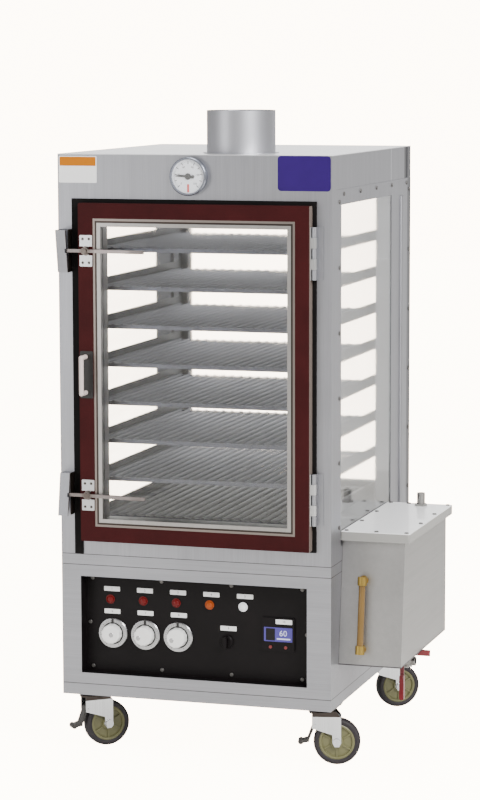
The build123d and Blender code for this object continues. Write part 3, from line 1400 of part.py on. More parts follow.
def caster_mount(x, y):
    """Top plate, ball race and kingpin with its nut, bolted under the base."""
    half = CASTER_PLATE / 2
    plate_low = CASTER_H - CASTER_PLATE_T
    plate = block(x - half, x + half, y - half, y + half, plate_low, CASTER_H)
    plate = fillet(plate.edges().filter_by(Axis.Z), 8)
    race_low = plate_low - RACE_H
    race = rod_z(RACE_R, x, y, race_low, plate_low)
    race = chamfer(race.edges().group_by(Axis.Z)[0], 2)
    nut_top = fork_top() - FORK_HEAD_T - MOVE_GAP
    pin = rod_z(KINGPIN_R, x, y, nut_top - KING_NUT_T, race_low)
    nut = Pos(x, y, nut_top - KING_NUT_T) * extrude(RegularPolygon(KING_NUT_R, 6), KING_NUT_T)
    mount = plate + race + pin + nut
    for sx in (-1, 1):
        for sy in (-1, 1):
            bx = x + sx * (half - 9)
            by = y + sy * (half - 9)
            mount = mount + Pos(bx, by, plate_low - 4) * extrude(RegularPolygon(6.5, 6), 4)
    return mount


def swivelled(name, piece):
    """Turns a fork, wheel or pedal about its kingpin to the angle it stands at."""
    x, y = caster_places()[name]
    return Pos(x, y, 0) * Rot(0, 0, CASTER_TURN[name]) * Pos(-x, -y, 0) * piece


def caster_mounts():
    return group([caster_mount(x, y) for x, y in caster_places().values()])


def fork_leg(y0, y1, x, braked):
    """One side plate of a fork, from the head down to the axle."""
    top = fork_top()
    low = top - FORK_HEAD_T
    front = BRAKE_PIN_X - 7 if braked else -FORK_HEAD_R + 9
    axle_x = CASTER_TRAIL
    outline = [(front, top - 1), (axle_x - 2, top - 1), (axle_x + 9, low - 8), (axle_x + 9, WHEEL_Z),
               (axle_x + 5, WHEEL_Z - 10), (axle_x - 5, WHEEL_Z - 10), (axle_x - 9, WHEEL_Z),
               (axle_x - 10, WHEEL_Z + 16), (front, BRAKE_PIN_Z - 6)]
    return prism_xz([(x + px, pz) for px, pz in outline], y0, y1)


def caster_fork(x, y, braked):
    """Fork with its axle bolt. A braked one also has the cross pin that its pedal turns on."""
    top = fork_top()
    inner = WHEEL_W / 2 + WHEEL_SIDE_GAP
    outer = inner + FORK_T
    head = rod_z(FORK_HEAD_R, x, y, top - FORK_HEAD_T, top)
    head = fillet(head.edges().group_by(Axis.Z)[-1], 2)
    fork = head + fork_leg(y - outer, y - inner, x, braked) + fork_leg(y + inner, y + outer, x, braked)
    fork = fork - rod_z(KINGPIN_R + RUN_GAP, x, y, top - FORK_HEAD_T - 1, top + 1)
    axle_x = x + CASTER_TRAIL
    fork = fork - rod_y(AXLE_R + RUN_GAP, axle_x, y - outer - 1, y + outer + 1, WHEEL_Z)
    if braked:
        fork = fork + rod_y(BRAKE_PIN_R, x + BRAKE_PIN_X, y - outer - 1.5, y + outer + 1.5, BRAKE_PIN_Z)
    axle = rod_y(AXLE_R, axle_x, y - outer - 1, y + outer + 1, WHEEL_Z)
    axle = axle + rod_y(AXLE_HEAD_R, axle_x, y - outer - AXLE_HEAD_T, y - outer, WHEEL_Z)
    nut = extrude(RegularPolygon(AXLE_HEAD_R, 6), AXLE_HEAD_T)
    axle = axle + Pos(axle_x, y + outer, WHEEL_Z) * Rot(-90, 0, 0) * nut
    return group([fork, axle])


def caster_wheel(x, y):
    """Tread and hub turned as one, with a sunk web on each side and a boss round the axle."""
    half = WHEEL_W / 2
    rim = WHEEL_R * 0.72
    boss = AXLE_R * 2.4
    web = half - 5
    side = half + WHEEL_SIDE_GAP - MOVE_GAP
    bore = AXLE_R + RUN_GAP
    one_side = [(bore, side), (boss, side), (boss + 1, web), (rim - 2, web), (rim, half - 1),
                (WHEEL_R - 7, half), (WHEEL_R - 2, half - 3), (WHEEL_R, half - 9)]
    other_side = [(r, -h) for r, h in reversed(one_side)]
    return spin_y(one_side + other_side, x + CASTER_TRAIL, y, WHEEL_Z)


def brake_pedal(x, y):
    """Pedal on the fork's cross pin, with a barrel, an arm and a foot plate."""
    half = BRAKE_W / 2
    px = x + BRAKE_PIN_X
    foot_in = px - 13
    barrel = rod_y(BRAKE_PIN_R + 3, px, y - half, y + half, BRAKE_PIN_Z)
    foot = BRAKE_FOOT_Z
    t = BRAKE_T
    foot_x = x + BRAKE_FOOT_X
    outline = [(px - 5.5, BRAKE_PIN_Z + 2), (px - 1.5, BRAKE_PIN_Z - 4), (foot_in, foot + t), (foot_in, foot),
               (foot_x, foot - 3), (foot_x - 2, foot + 2), (foot_in - t, foot + t + 3)]
    arm = prism_xz(outline, y - half, y + half)
    roll = rod_y(BRAKE_ROLL_R, foot_x, y - half, y + half, foot)
    roll = fillet(roll.edges(), 2.5)
    pedal = barrel + arm + roll
    return pedal - rod_y(BRAKE_PIN_R + RUN_GAP, px, y - half - 1, y + half + 1, BRAKE_PIN_Z)


# Screws that stay with the body

def case_screws():
    screws = []
    flat = [Pos(x, -PLATE_T, z) * screw("-Y") for x, y, z in side_screw_places()]
    for piece in flat:
        screws.append(to_right_side(piece))
        screws.append(to_left_side(piece))
    for x, y, z in rear_screw_places():
        screws.append(to_rear(Pos(x, -PLATE_T, z) * screw("-Y")))
    for x, y, z in corner_screw_places(0):
        screws.append(Pos(x, y, z) * screw("-X"))
    for x, y, z in corner_screw_places(BODY_W):
        screws.append(Pos(x, y, z) * screw("+X"))
    for x, y, z in panel_screw_places():
        screws.append(Pos(x, y, z) * screw("-Y"))
    for x, y, z in lid_screw_places():
        screws.append(Pos(x, y, z) * screw("+Z"))
    return group(screws)


# All nodes

def all_nodes():
    nodes = {
        "base_tray": base_tray(),
        "lower_housing": lower_housing(),
        "deck_frame": deck_frame(),
        "front_frame": front_frame(),
        "rear_frame": rear_frame(),
        "side_frames": side_frames(),
        "glazing_frames": glazing_frames(),
        "chamber_glass": chamber_glass(),
        "roof_panels": roof_panels(),
        "flue_collar": flue_collar(),
        "water_pan": water_pan(),
        "heating_elements": heating_elements(),
        "drain_pipes": drain_pipes(),
        "pan_drain_lever": pan_drain_lever(),
        "tank_drain_lever": tank_drain_lever(),
        "wire_shelves": wire_shelves(),
        "floor_grid": floor_grid(),
        "shelf_racks": shelf_racks(),
        "control_panel": control_panel(),
        "indicator_lamps": indicator_lamps(),
        "timer_body": timer_body(),
        "timer_button_left": timer_button(TIMER_X - BUTTON_SPREAD),
        "timer_button_right": timer_button(TIMER_X + BUTTON_SPREAD),
        "selector_knob": selector_knob(),
        "control_gear": control_gear(),
        "cable_gland": cable_gland(),
        "tank_body": tank_body(),
        "tank_lid": tank_lid(),
        "inlet_valve": inlet_valve(),
        "float_arm": float_arm(),
        "sight_tube": sight_tube(),
        "sight_fittings": sight_fittings(),
        "door_gasket": door_gasket(),
        "door_frame": door_frame(),
        "door_bezel": door_bezel(),
        "door_glass": door_glass(),
        "door_pull": door_pull(),
        "hinge_post_leaves": hinge_post_leaves(),
        "hinge_door_leaves": hinge_door_leaves(),
        "latch_plates": latch_plates(),
        "latch_keepers": latch_keepers(),
        "upper_latch_lever": upper_latch_lever(),
        "lower_latch_lever": lower_latch_lever(),
        "gauge_case": gauge_case(),
        "gauge_pointer": gauge_pointer(),
        "caster_mounts": caster_mounts(),
        "case_screws": case_screws(),
    }
    for i, x in enumerate(dial_xs()):
        nodes["thermostat_knob_%d" % (i + 1)] = thermostat_knob(x)
    for name, (x, y) in caster_places().items():
        braked = name.startswith("front")
        nodes[name + "_fork"] = swivelled(name, caster_fork(x, y, braked))
        nodes[name + "_wheel"] = swivelled(name, caster_wheel(x, y))
        if braked:
            nodes[name + "_brake"] = swivelled(name, brake_pedal(x, y))
    return nodes


# The origin is the middle of the whole footprint, on the floor
NODES = all_nodes()
LEFT_REACH = min(0.0, NODES["front_left_brake"].bounding_box().min.X)
RIGHT_REACH = TANK_X0 + TANK_LID_W
FRONT_REACH = min(-LEVER_OUT, NODES["door_pull"].bounding_box().min.Y)
BACK_REACH = BODY_D + GLAND_OUT
ORIGIN = Pos(-(LEFT_REACH + RIGHT_REACH) / 2, -(FRONT_REACH + BACK_REACH) / 2, 0)

os.makedirs("parts", exist_ok=True)
for node, shape in NODES.items():
    export_step(ORIGIN * shape, "parts/%s.step" % node)
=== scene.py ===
"""Dresses a steaming cabinet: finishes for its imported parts, the small pieces on them, camera and studio."""

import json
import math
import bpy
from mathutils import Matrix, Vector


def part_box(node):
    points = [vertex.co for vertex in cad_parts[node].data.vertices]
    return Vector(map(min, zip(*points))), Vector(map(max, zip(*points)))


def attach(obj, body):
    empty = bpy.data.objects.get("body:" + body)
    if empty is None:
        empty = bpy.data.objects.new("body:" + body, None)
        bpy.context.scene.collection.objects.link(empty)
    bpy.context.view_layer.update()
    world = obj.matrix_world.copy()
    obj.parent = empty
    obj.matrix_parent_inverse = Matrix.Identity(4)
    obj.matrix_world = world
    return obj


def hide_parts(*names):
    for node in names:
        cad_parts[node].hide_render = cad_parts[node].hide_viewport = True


bl_info = {
    "name": "Steaming cabinet",
    "version": (1, 0, 0),
    "blender": (4, 5, 0),
    "location": "View3D > Sidebar > Cabinet",
    "description": "Finishes and small pieces for a steaming cabinet on casters",
    "category": "Object",
}

import bmesh
import bpy
from bpy.props import FloatProperty, FloatVectorProperty, IntProperty, PointerProperty
from mathutils import Matrix, Vector

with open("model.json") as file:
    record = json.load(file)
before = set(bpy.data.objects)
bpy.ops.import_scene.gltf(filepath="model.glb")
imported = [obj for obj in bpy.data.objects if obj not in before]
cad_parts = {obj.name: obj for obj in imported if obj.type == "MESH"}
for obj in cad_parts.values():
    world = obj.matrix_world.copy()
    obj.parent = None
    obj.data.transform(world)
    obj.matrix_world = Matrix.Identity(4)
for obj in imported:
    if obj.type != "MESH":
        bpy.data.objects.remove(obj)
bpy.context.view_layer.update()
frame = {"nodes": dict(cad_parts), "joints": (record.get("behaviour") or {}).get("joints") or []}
NODES = frame["nodes"]
BASE_LOW, BASE_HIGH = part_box("base_tray")
JOINTS = {joint["name"]: joint for joint in frame["joints"]}
MM = 0.001
TURN = 2 * math.pi

# Places that no solid's box gives, in millimetres from the cabinet's front left corner and the floor
PANEL_FACE = 33.0
TIMER_FACE = 29.0
LATCH_PLATE_FACE = -24.0
WINDOW_JAMB = 497.0
REAR_STILE = (617.0, 641.0)
BLUE_PLATE_AT = (541.5, 0.0, 1255.0)
TWO_TONE_PLATE_AT = (45.5, 0.0, 1259.0)
AMBER_FIELD_AT = (45.5, -0.5, 1276.0)
LAMP_LABELS = [(102.3 + 74.9 * i, PANEL_FACE, 359.0) for i in range(5)]
KNOB_LABELS = [(102.8 + 75.5 * i, PANEL_FACE, 310.0) for i in range(3)]
OTHER_LABELS = [(365.0, PANEL_FACE, 288.0), (489.0, TIMER_FACE, 310.0)]
LAMP_CHANGES = (285.5, 360.2)
# Where a chrome disc sits on each knob's cap as a painted reflection, across and up from the knob's middle in
# millimetres
KNOB_REFLECTION_SPOTS = ((2.0, -1.0), (-10.5, -4.0), (-9.0, -4.5))

# The photograph's own viewpoint, found by fitting the cabinet's edges: place, then yaw, pitch and roll
CAMERA_AT = (2085.55, -5338.16, 1487.5)
CAMERA_TURN = (17.502, 7.178, -0.15)

# Each lamp's place, target and size in metres, and its power in watts
LIGHTS = {
    "key": ((-1.7, -2.3, 0.95), (-0.2, -0.3, 0.75), 1.2, 15),
    "fill": ((2.6, -2.4, 2.9), (0.1, 0, 0.6), 1.8, 200),
    "top": ((0.2, 0.4, 4.0), (0, 0, 0.9), 2.6, 95),
    "side": ((1.7, 3.6, 0.7), (0.3, 0, 0.8), 2.2, 7),
    "rear": ((-0.8, 3.6, 2.2), (0, 0, 0.9), 2.4, 26),
}

# Scale of the brushed grain along X, Y and Z: coarse along the streaks, fine across them
UPRIGHT = (700.0, 700.0, 9.0)
ALONG_X = (9.0, 700.0, 700.0)
ALONG_Y = (700.0, 9.0, 700.0)

# The dark of a gap between two sheets, also laid as painted shade along the tank's bottom edge
SEAM_AND_SHADE = (0.12, 0.115, 0.12)


# Places

def place(x, y, z):
    """A point given in millimetres from the cabinet's front left corner and the floor, in the row frame."""
    return Vector((BASE_LOW.x + x * MM, BASE_LOW.y + y * MM, z * MM))


def front_middle(node):
    """The middle of a node's front, in the millimetres that place takes."""
    low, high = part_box(node)
    middle = (low + high) / 2
    return (middle.x - BASE_LOW.x) / MM, (low.y - BASE_LOW.y) / MM, middle.z / MM


# Meshes

MERGE = 1e-6
SHARP = math.radians(35)
BACKWARD = Matrix(((1, 0, 0), (0, 0, 1), (0, -1, 0))).to_4x4()
CORNER_STEPS = 5
LETTER_SCALE = 1.35


def finish_mesh(shape, name):
    """Turns a bmesh into a mesh, smooth except at sharp edges."""
    bmesh.ops.remove_doubles(shape, verts=shape.verts, dist=MERGE)
    bmesh.ops.recalc_face_normals(shape, faces=shape.faces)
    for face in shape.faces:
        face.smooth = True
    for edge in shape.edges:
        if len(edge.link_faces) == 2 and edge.calc_face_angle(0) > SHARP:
            edge.smooth = False
    mesh = bpy.data.meshes.new(name)
    shape.to_mesh(mesh)
    shape.free()
    return mesh


def mesh_object(name, shape, body, *materials, slot=None, instead_of=()):
    """Makes a piece of a bmesh and lets it ride on a body."""
    mesh = finish_mesh(shape, name)
    for material in materials:
        mesh.materials.append(material)
    piece = bpy.data.objects.new(name, mesh)
    bpy.context.scene.collection.objects.link(piece)
    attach(piece, body)
    if instead_of:
        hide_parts(*instead_of)


def take_in(shape, mesh, slot):
    """Adds a mesh to a bmesh, all of it in one material slot, and removes the mesh."""
    first = len(shape.faces)
    shape.from_mesh(mesh)
    bpy.data.meshes.remove(mesh)
    shape.faces.ensure_lookup_table()
    for face in shape.faces[first:]:
        face.material_index = slot


def ring(shape, where, radii, along):
    """Adds points at even angles about an axis, one for each radius, in millimetres."""
    points = []
    for i, radius in enumerate(radii):
        angle = TURN * i / len(radii)
        spot = Vector((radius * math.cos(angle), radius * math.sin(angle), along)) * MM
        points.append(shape.verts.new(where @ spot))
    return points


def skin(shape, rings, slot):
    """Joins rings of points with faces. A ring of one point is a tip."""
    for low, high in zip(rings, rings[1:]):
        count = max(len(low), len(high))
        for i in range(count):
            j = (i + 1) % count
            corners = (low[i % len(low)], low[j % len(low)], high[j % len(high)], high[i % len(high)])
            corners = list(dict.fromkeys(corners))
            if len(corners) > 2:
                shape.faces.new(corners).material_index = slot


def turned(shape, outline, centre, axis=BACKWARD, segments=64, slot=0):
    """Adds a turned form: radius and distance along the axis, in millimetres, about a point."""
    where = Matrix.Translation(centre) @ axis
    rings = [ring(shape, where, [radius] * (segments if radius else 1), along) for radius, along in outline]
    skin(shape, rings, slot)


def bar(shape, low, high, edge, where, slot):
    """Adds a block between two corners in metres, with its edges rounded, and moves it to its place."""
    block = bmesh.new()
    bmesh.ops.create_cube(block, size=1.0)
    size = high - low
    middle = (high + low) / 2
    for vert in block.verts:
        vert.co = vert.co * size + middle
    bmesh.ops.bevel(block, geom=block.edges[:], offset=edge, segments=2, affect="EDGES", profile=0.5)
    block.transform(where)
    mesh = bpy.data.meshes.new("block")
    block.to_mesh(mesh)
    block.free()
    take_in(shape, mesh, slot)


def prism(shape, points, front, back, slot=0):
    """Adds a flat form that faces the front: its outline across and up, and its two depths."""
    near = [shape.verts.new(place(x, front, z)) for x, z in points]
    far = [shape.verts.new(place(x, back, z)) for x, z in points]
    skin(shape, (near, far), slot)
    for end in (near, far[::-1]):
        shape.faces.new(end).material_index = slot


def front_plate(shape, centre, width, height, thick, radius, slot=0):
    """Adds a rounded plate that faces the front, centred on a point at its back."""
    x0, back, z0 = centre
    points = []
    for i, (across, up) in enumerate(((1, 1), (-1, 1), (-1, -1), (1, -1))):
        for k in range(CORNER_STEPS + 1):
            angle = math.pi / 2 * (i + k / CORNER_STEPS)
            points.append((x0 + across * (width / 2 - radius) + radius * math.cos(angle),
                           z0 + up * (height / 2 - radius) + radius * math.sin(angle)))
    prism(shape, points, back - thick, back, slot)


def radial_mark(shape, x0, z0, angle, radii, width, front, back, slot):
    """Adds a thin raised mark between two radii about a point, at an angle in degrees."""
    inner, outer = radii
    centre = Vector((x0, z0))
    along = Vector((math.cos(math.radians(angle)), math.sin(math.radians(angle))))
    side = Vector((-along.y, along.x)) * width / 2
    corners = (along * inner - side, along * outer - side, along * outer + side, along * inner + side)
    prism(shape, [centre + corner for corner in corners], front, back, slot)


def numbers(shape, words, height, centre, thick, slot):
    """Adds raised numbers that face the front, centred on a point."""
    curve = bpy.data.curves.new("numbers", "FONT")
    curve.body = words
    curve.size = height * MM * LETTER_SCALE
    curve.align_x = "CENTER"
    curve.align_y = "CENTER"
    curve.extrude = thick * MM
    curve.resolution_u = 3
    temporary = bpy.data.objects.new("numbers", curve)
    bpy.context.scene.collection.objects.link(temporary)
    bpy.context.view_layer.update()
    mesh = bpy.data.meshes.new_from_object(temporary.evaluated_get(bpy.context.evaluated_depsgraph_get()))
    mesh.transform(Matrix.Translation(place(*centre)) @ Matrix.Rotation(math.pi / 2, 4, "X"))
    bpy.data.objects.remove(temporary)
    bpy.data.curves.remove(curve)
    take_in(shape, mesh, slot)


# Shader nodes

def feed(tree, socket, value):
    """Links another socket to a socket, or sets the socket's own value."""
    if isinstance(value, bpy.types.NodeSocket):
        tree.links.new(value, socket)
    else:
        socket.default_value = value


def calculation(tree, kind, operation, values):
    node = tree.nodes.new(kind)
    node.operation = operation
    for socket, value in zip(node.inputs, values):
        feed(tree, socket, value)
    return node.outputs


def math_node(tree, operation, *values):
    return calculation(tree, "ShaderNodeMath", operation, values)[0]


def vector_node(tree, operation, *values):
    return calculation(tree, "ShaderNodeVectorMath", operation, values)


def split(tree, vector):
    """The X, Y and Z of a vector."""
    parts = tree.nodes.new("ShaderNodeSeparateXYZ")
    tree.links.new(vector, parts.inputs[0])
    return parts.outputs


def mix_colors(tree, factor, a, b):
    node = tree.nodes.new("ShaderNodeMix")
    node.data_type = "RGBA"
    for socket, value in ((node.inputs[0], factor), (node.inputs[6], a), (node.inputs[7], b)):
        feed(tree, socket, value)
    return node.outputs[2]


def noise(tree, vector, scale, detail, roughness):
    node = tree.nodes.new("ShaderNodeTexNoise")
    for label, value in zip(("Vector", "Scale", "Detail", "Roughness"), (vector, scale, detail, roughness)):
        feed(tree, node.inputs[label], value)
    return node.outputs["Fac"]


def remap(tree, value, low, high, new_low, new_high):
    node = tree.nodes.new("ShaderNodeMapRange")
    for socket, number in zip(node.inputs, (value, low, high, new_low, new_high)):
        feed(tree, socket, number)
    return node.outputs[0]


# Shared shader effects

ORIGIN = (0.0, 0.0, 0.0)


def effect(name, inputs, *outputs):
    """Starts a node group. A default of four numbers makes a colour socket, one of three a vector socket."""
    kinds = {3: "NodeSocketVector", 4: "NodeSocketColor"}
    tree = bpy.data.node_groups.new(name, "ShaderNodeTree")
    for label, default in inputs.items():
        kind = kinds[len(default)] if isinstance(default, tuple) else "NodeSocketFloat"
        tree.interface.new_socket(name=label, in_out="INPUT", socket_type=kind).default_value = default
    for label in outputs:
        kind = "NodeSocketColor" if label == "Color" else "NodeSocketFloat"
        tree.interface.new_socket(name=label, in_out="OUTPUT", socket_type=kind)
    return tree, tree.nodes.new("NodeGroupInput").outputs, tree.nodes.new("NodeGroupOutput").inputs


def wander(tree, given, clouds):
    """Roughness that follows the clouds."""
    return math_node(tree, "MULTIPLY_ADD", math_node(tree, "SUBTRACT", clouds, 0.5), given["Rough Spread"],
                     given["Rough"])


def make_brushed():
    """Fine streaks along one direction, with wider bands and cloudy handling marks."""
    tree, given, out = effect(
        "brushed_grain",
        {"Vector": ORIGIN, "Grain": UPRIGHT, "Light": (0.75, 0.75, 0.74, 1.0), "Dark": (0.6, 0.6, 0.6, 1.0),
         "Rough": 0.35, "Rough Spread": 0.1},
        "Color", "Roughness", "Height",
    )
    grain = vector_node(tree, "MULTIPLY", given["Vector"], given["Grain"])[0]
    streaks = noise(tree, grain, 1.0, 2.0, 0.6)
    bands = noise(tree, grain, 0.12, 2.0, 0.5)
    clouds = noise(tree, given["Vector"], 6.0, 3.0, 0.55)
    mixed = math_node(tree, "MULTIPLY", streaks, 0.45)
    for layer, share in ((bands, 0.25), (clouds, 0.3)):
        mixed = math_node(tree, "MULTIPLY_ADD", layer, share, mixed)
    mask = remap(tree, mixed, 0.35, 0.65, 0.0, 1.0)
    feed(tree, out["Color"], mix_colors(tree, mask, given["Dark"], given["Light"]))
    feed(tree, out["Roughness"], wander(tree, given, clouds))
    feed(tree, out["Height"], streaks)
    return tree


def make_coat():
    """Cloudy variation of a coat, with fine orange peel."""
    tree, given, out = effect(
        "coat_variation",
        {"Vector": ORIGIN, "Base": (0.5, 0.5, 0.5, 1.0), "Faded": (0.6, 0.6, 0.6, 1.0), "Rough": 0.4,
         "Rough Spread": 0.12, "Peel Scale": 700.0},
        "Color", "Roughness", "Height",
    )
    clouds = noise(tree, given["Vector"], 9.0, 4.0, 0.6)
    mask = remap(tree, clouds, 0.3, 0.75, 0.0, 1.0)
    feed(tree, out["Color"], mix_colors(tree, mask, given["Base"], given["Faded"]))
    feed(tree, out["Roughness"], wander(tree, given, clouds))
    feed(tree, out["Height"], noise(tree, given["Vector"], given["Peel Scale"], 2.0, 0.5))
    return tree


def between(tree, value, given):
    """1 where a value lies between the effect's From and To."""
    above = math_node(tree, "GREATER_THAN", value, given["From"])
    return math_node(tree, "MULTIPLY", above, math_node(tree, "LESS_THAN", value, given["To"]))


def make_span():
    """1 where one coordinate lies between two values, 0 elsewhere."""
    tree, given, out = effect("between", {"Coordinate": 0.0, "From": 0.0, "To": 1.0}, "Mask")
    feed(tree, out["Mask"], between(tree, given["Coordinate"], given))
    return tree


def make_round():
    """1 inside a radius about an axis along Y through a point, 0 outside."""
    tree, given, out = effect("inside_radius", {"Vector": ORIGIN, "Centre": ORIGIN, "Radius": 0.03}, "Mask")
    away = vector_node(tree, "SUBTRACT", given["Vector"], given["Centre"])[0]
    flat = vector_node(tree, "MULTIPLY", away, (1.0, 0.0, 1.0))[0]
    length = vector_node(tree, "LENGTH", flat)["Value"]
    feed(tree, out["Mask"], math_node(tree, "LESS_THAN", length, given["Radius"]))
    return tree


def make_edge_band():
    """1 where the distance inward from an upright rectangle's edge lies between two values."""
    tree, given, out = effect(
        "edge_band",
        {"Vector": ORIGIN, "Low": ORIGIN, "High": (1.0, 0.0, 1.0), "From": 0.0, "To": 0.005},
        "Mask",
    )
    distances = []
    for a, b in (("Vector", "Low"), ("High", "Vector")):
        parts = split(tree, vector_node(tree, "SUBTRACT", given[a], given[b])[0])
        distances.append(math_node(tree, "MINIMUM", parts["X"], parts["Z"]))
    feed(tree, out["Mask"], between(tree, math_node(tree, "MINIMUM", *distances), given))
    return tree


EFFECTS = {
    "brushed_grain": make_brushed,
    "coat_variation": make_coat,
    "between": make_span,
    "inside_radius": make_round,
    "edge_band": make_edge_band,
}


def effect_node(tree, name, **values):
    """The outputs of a shared effect, which is made at its first use."""
    node = tree.nodes.new("ShaderNodeGroup")
    node.node_tree = bpy.data.node_groups.get(name) or EFFECTS[name]()
    for label, value in values.items():
        feed(tree, node.inputs[label.replace("_", " ")], value)
    return node.outputs


# Materials

def rgba(color):
    return (color[0], color[1], color[2], 1.0)


def shade(color, factor):
    """A colour made darker or lighter."""
    return tuple(min(1.0, part * factor) for part in color[:3]) + (1.0,)


def start_material(name, **values):
    """A material with its principled shader and the object's own coordinates."""
    material = bpy.data.materials.new(name)
    material.use_nodes = True
    tree = material.node_tree
    shader = tree.nodes["Principled BSDF"]
    for label, value in values.items():
        shader.inputs[label.replace("_", " ")].default_value = value
    return material, tree, shader, tree.nodes.new("ShaderNodeTexCoord").outputs["Object"]


def wear(tree, shader, coat, strength, distance):
    """Feeds a coat's colour, roughness and relief to a shader."""
    bump = tree.nodes.new("ShaderNodeBump")
    bump.inputs["Strength"].default_value = strength
    bump.inputs["Distance"].default_value = distance
    tree.links.new(coat["Height"], bump.inputs["Height"])
    tree.links.new(bump.outputs["Normal"], shader.inputs["Normal"])
    tree.links.new(coat["Color"], shader.inputs["Base Color"])
    tree.links.new(coat["Roughness"], shader.inputs["Roughness"])


def brushed_material(name, color, grain, rough=0.36, spread=0.12, contrast=0.82, bump=0.08):
    """Metal with a grain. The contrast is the dark streaks' share of the colour."""
    material, tree, shader, where = start_material(name, Metallic=1.0)
    coat = effect_node(tree, "brushed_grain", Vector=where, Grain=grain, Light=rgba(color),
                       Dark=shade(color, contrast), Rough=rough, Rough_Spread=spread)
    wear(tree, shader, coat, bump, 0.2 * MM)
    return material


def coated_material(name, color, faded=1.12, rough=0.42, spread=0.15, peel=700.0, bump=0.06, **values):
    """Paint, plastic or rubber. Faded is how much lighter its worn clouds are."""
    material, tree, shader, where = start_material(name, **values)
    coat = effect_node(tree, "coat_variation", Vector=where, Base=rgba(color), Faded=shade(color, faded),
                       Rough=rough, Rough_Spread=spread, Peel_Scale=peel)
    wear(tree, shader, coat, bump, 0.3 * MM)
    return material


def glass_material(name, color):
    """Clear pane with faint wipe marks."""
    material, tree, shader, where = start_material(name, IOR=1.45, Metallic=0.0, Transmission_Weight=1.0)
    shader.inputs["Base Color"].default_value = rgba(color)
    marks = noise(tree, where, 5.0, 4.0, 0.6)
    tree.links.new(remap(tree, marks, 0.3, 0.8, 0.02, 0.08), shader.inputs["Roughness"])
    return material


def own_coordinates(material):
    nodes = material.node_tree.nodes
    return next(node for node in nodes if node.type == "TEX_COORD").outputs["Object"]


def overpaint(material, mask, color):
    """Lays a colour over a material's own where a mask of the same material is 1."""
    tree = material.node_tree
    base = tree.nodes["Principled BSDF"].inputs["Base Color"]
    tree.links.new(mix_colors(tree, mask["Mask"], base.links[0].from_socket, rgba(color)), base)


def line_across(material, letter, low, high, color):
    """Paints a line between two places along one axis, in metres."""
    tree = material.node_tree
    along = split(tree, own_coordinates(material))[letter]
    overpaint(material, effect_node(tree, "between", Coordinate=along, From=low, To=high), color)


def line_at(material, letter, middle, half, color):
    """Paints a line of a given half width about a place along one axis, in metres."""
    line_across(material, letter, middle - half, middle + half, color)


def spot_on(material, centre, radius, color):
    """Paints a round spot that faces the front."""
    mask = effect_node(material.node_tree, "inside_radius", Vector=own_coordinates(material), Centre=centre,
                       Radius=radius)
    overpaint(material, mask, color)


def band_round(material, node, start, end, color):
    """Paints a band that runs round a node's front, between two distances from its edge in millimetres."""
    low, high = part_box(node)
    mask = effect_node(material.node_tree, "edge_band", Vector=own_coordinates(material), Low=low, High=high,
                       From=start * MM, To=end * MM)
    overpaint(material, mask, color)


def seen_directly(tree):
    """1 for what the camera sees, straight or through clear panes, and 0 for the light on the cabinet."""
    path = tree.nodes.new("ShaderNodeLightPath").outputs
    bounces = math_node(tree, "ADD", path["Diffuse Depth"], path["Glossy Depth"])
    first = math_node(tree, "LESS_THAN", bounces, 0.5)
    through = math_node(tree, "MULTIPLY", path["Is Transmission Ray"], first)
    return math_node(tree, "MAXIMUM", path["Is Camera Ray"], through)


def node_material(material, *names):
    """Gives CAD nodes a material."""
    for name in names:
        mesh = NODES[name].data
        mesh.materials.clear()
        mesh.materials.append(material)
        for face in mesh.polygons:
            face.material_index = 0


# What a user would change

def tint(name, description, color):
    """A colour to choose."""
    return FloatVectorProperty(name=name, description=description, default=color, min=0, max=1,
                               subtype="COLOR")


class CabinetSteel(bpy.types.PropertyGroup):
    color: tint("Sheet", "Colour of the brushed sheet", (0.425, 0.428, 0.458))
    bright: tint("Bright", "Colour of the polished fittings", (0.74, 0.74, 0.75))
    seam: FloatProperty(name="Seam", description="Width of the dark line where two casings meet",
                        default=1.6 * MM, min=0, max=0.005, unit="LENGTH")
    rough: FloatProperty(name="Roughness", description="Roughness of the brushed sheet", default=0.42, min=0,
                         max=1, subtype="FACTOR")


class CabinetDoor(bpy.types.PropertyGroup):
    paint: tint("Paint", "Colour of the door's painted frame", (0.030, 0.0042, 0.0046))
    rubber: tint("Rubber", "Colour of the gasket", (0.004, 0.0034, 0.0034))
    edge: tint("Edge", "Colour of the bare edges round the door", (0.30, 0.255, 0.23))
    glass: tint("Glass", "Tint of the panes", (0.985, 0.99, 0.99))


class CabinetPanel(bpy.types.PropertyGroup):
    panel: tint("Panel", "Colour of the control panel", (0.0045, 0.0034, 0.0037))
    label_size: FloatVectorProperty(name="Label size", description="Width and height of a label, in metres",
                                    size=2, default=(0.036, 0.0100), min=0.001, subtype="XYZ", unit="LENGTH")
    knob: tint("Knob", "Colour of the thermostat knobs", (0.92, 0.92, 0.90))


class CabinetTank(bpy.types.PropertyGroup):
    lid: tint("Lid", "Colour of the tank's lid", (0.95, 0.955, 0.96))
    tube: tint("Tube", "Colour of the sight tube", (0.17, 0.10, 0.03))
    lever: tint("Lever", "Colour of the valve sleeves", (0.17, 0.008, 0.013))


class CabinetCasters(bpy.types.PropertyGroup):
    hub: tint("Hub", "Colour of the wheel hubs", (0.145, 0.14, 0.062))
    tread: tint("Tread", "Colour of the treads", (0.013, 0.010, 0.012))
    ribs: IntProperty(name="Ribs", description="Ribs on a hub's face", default=6, min=3, max=16)


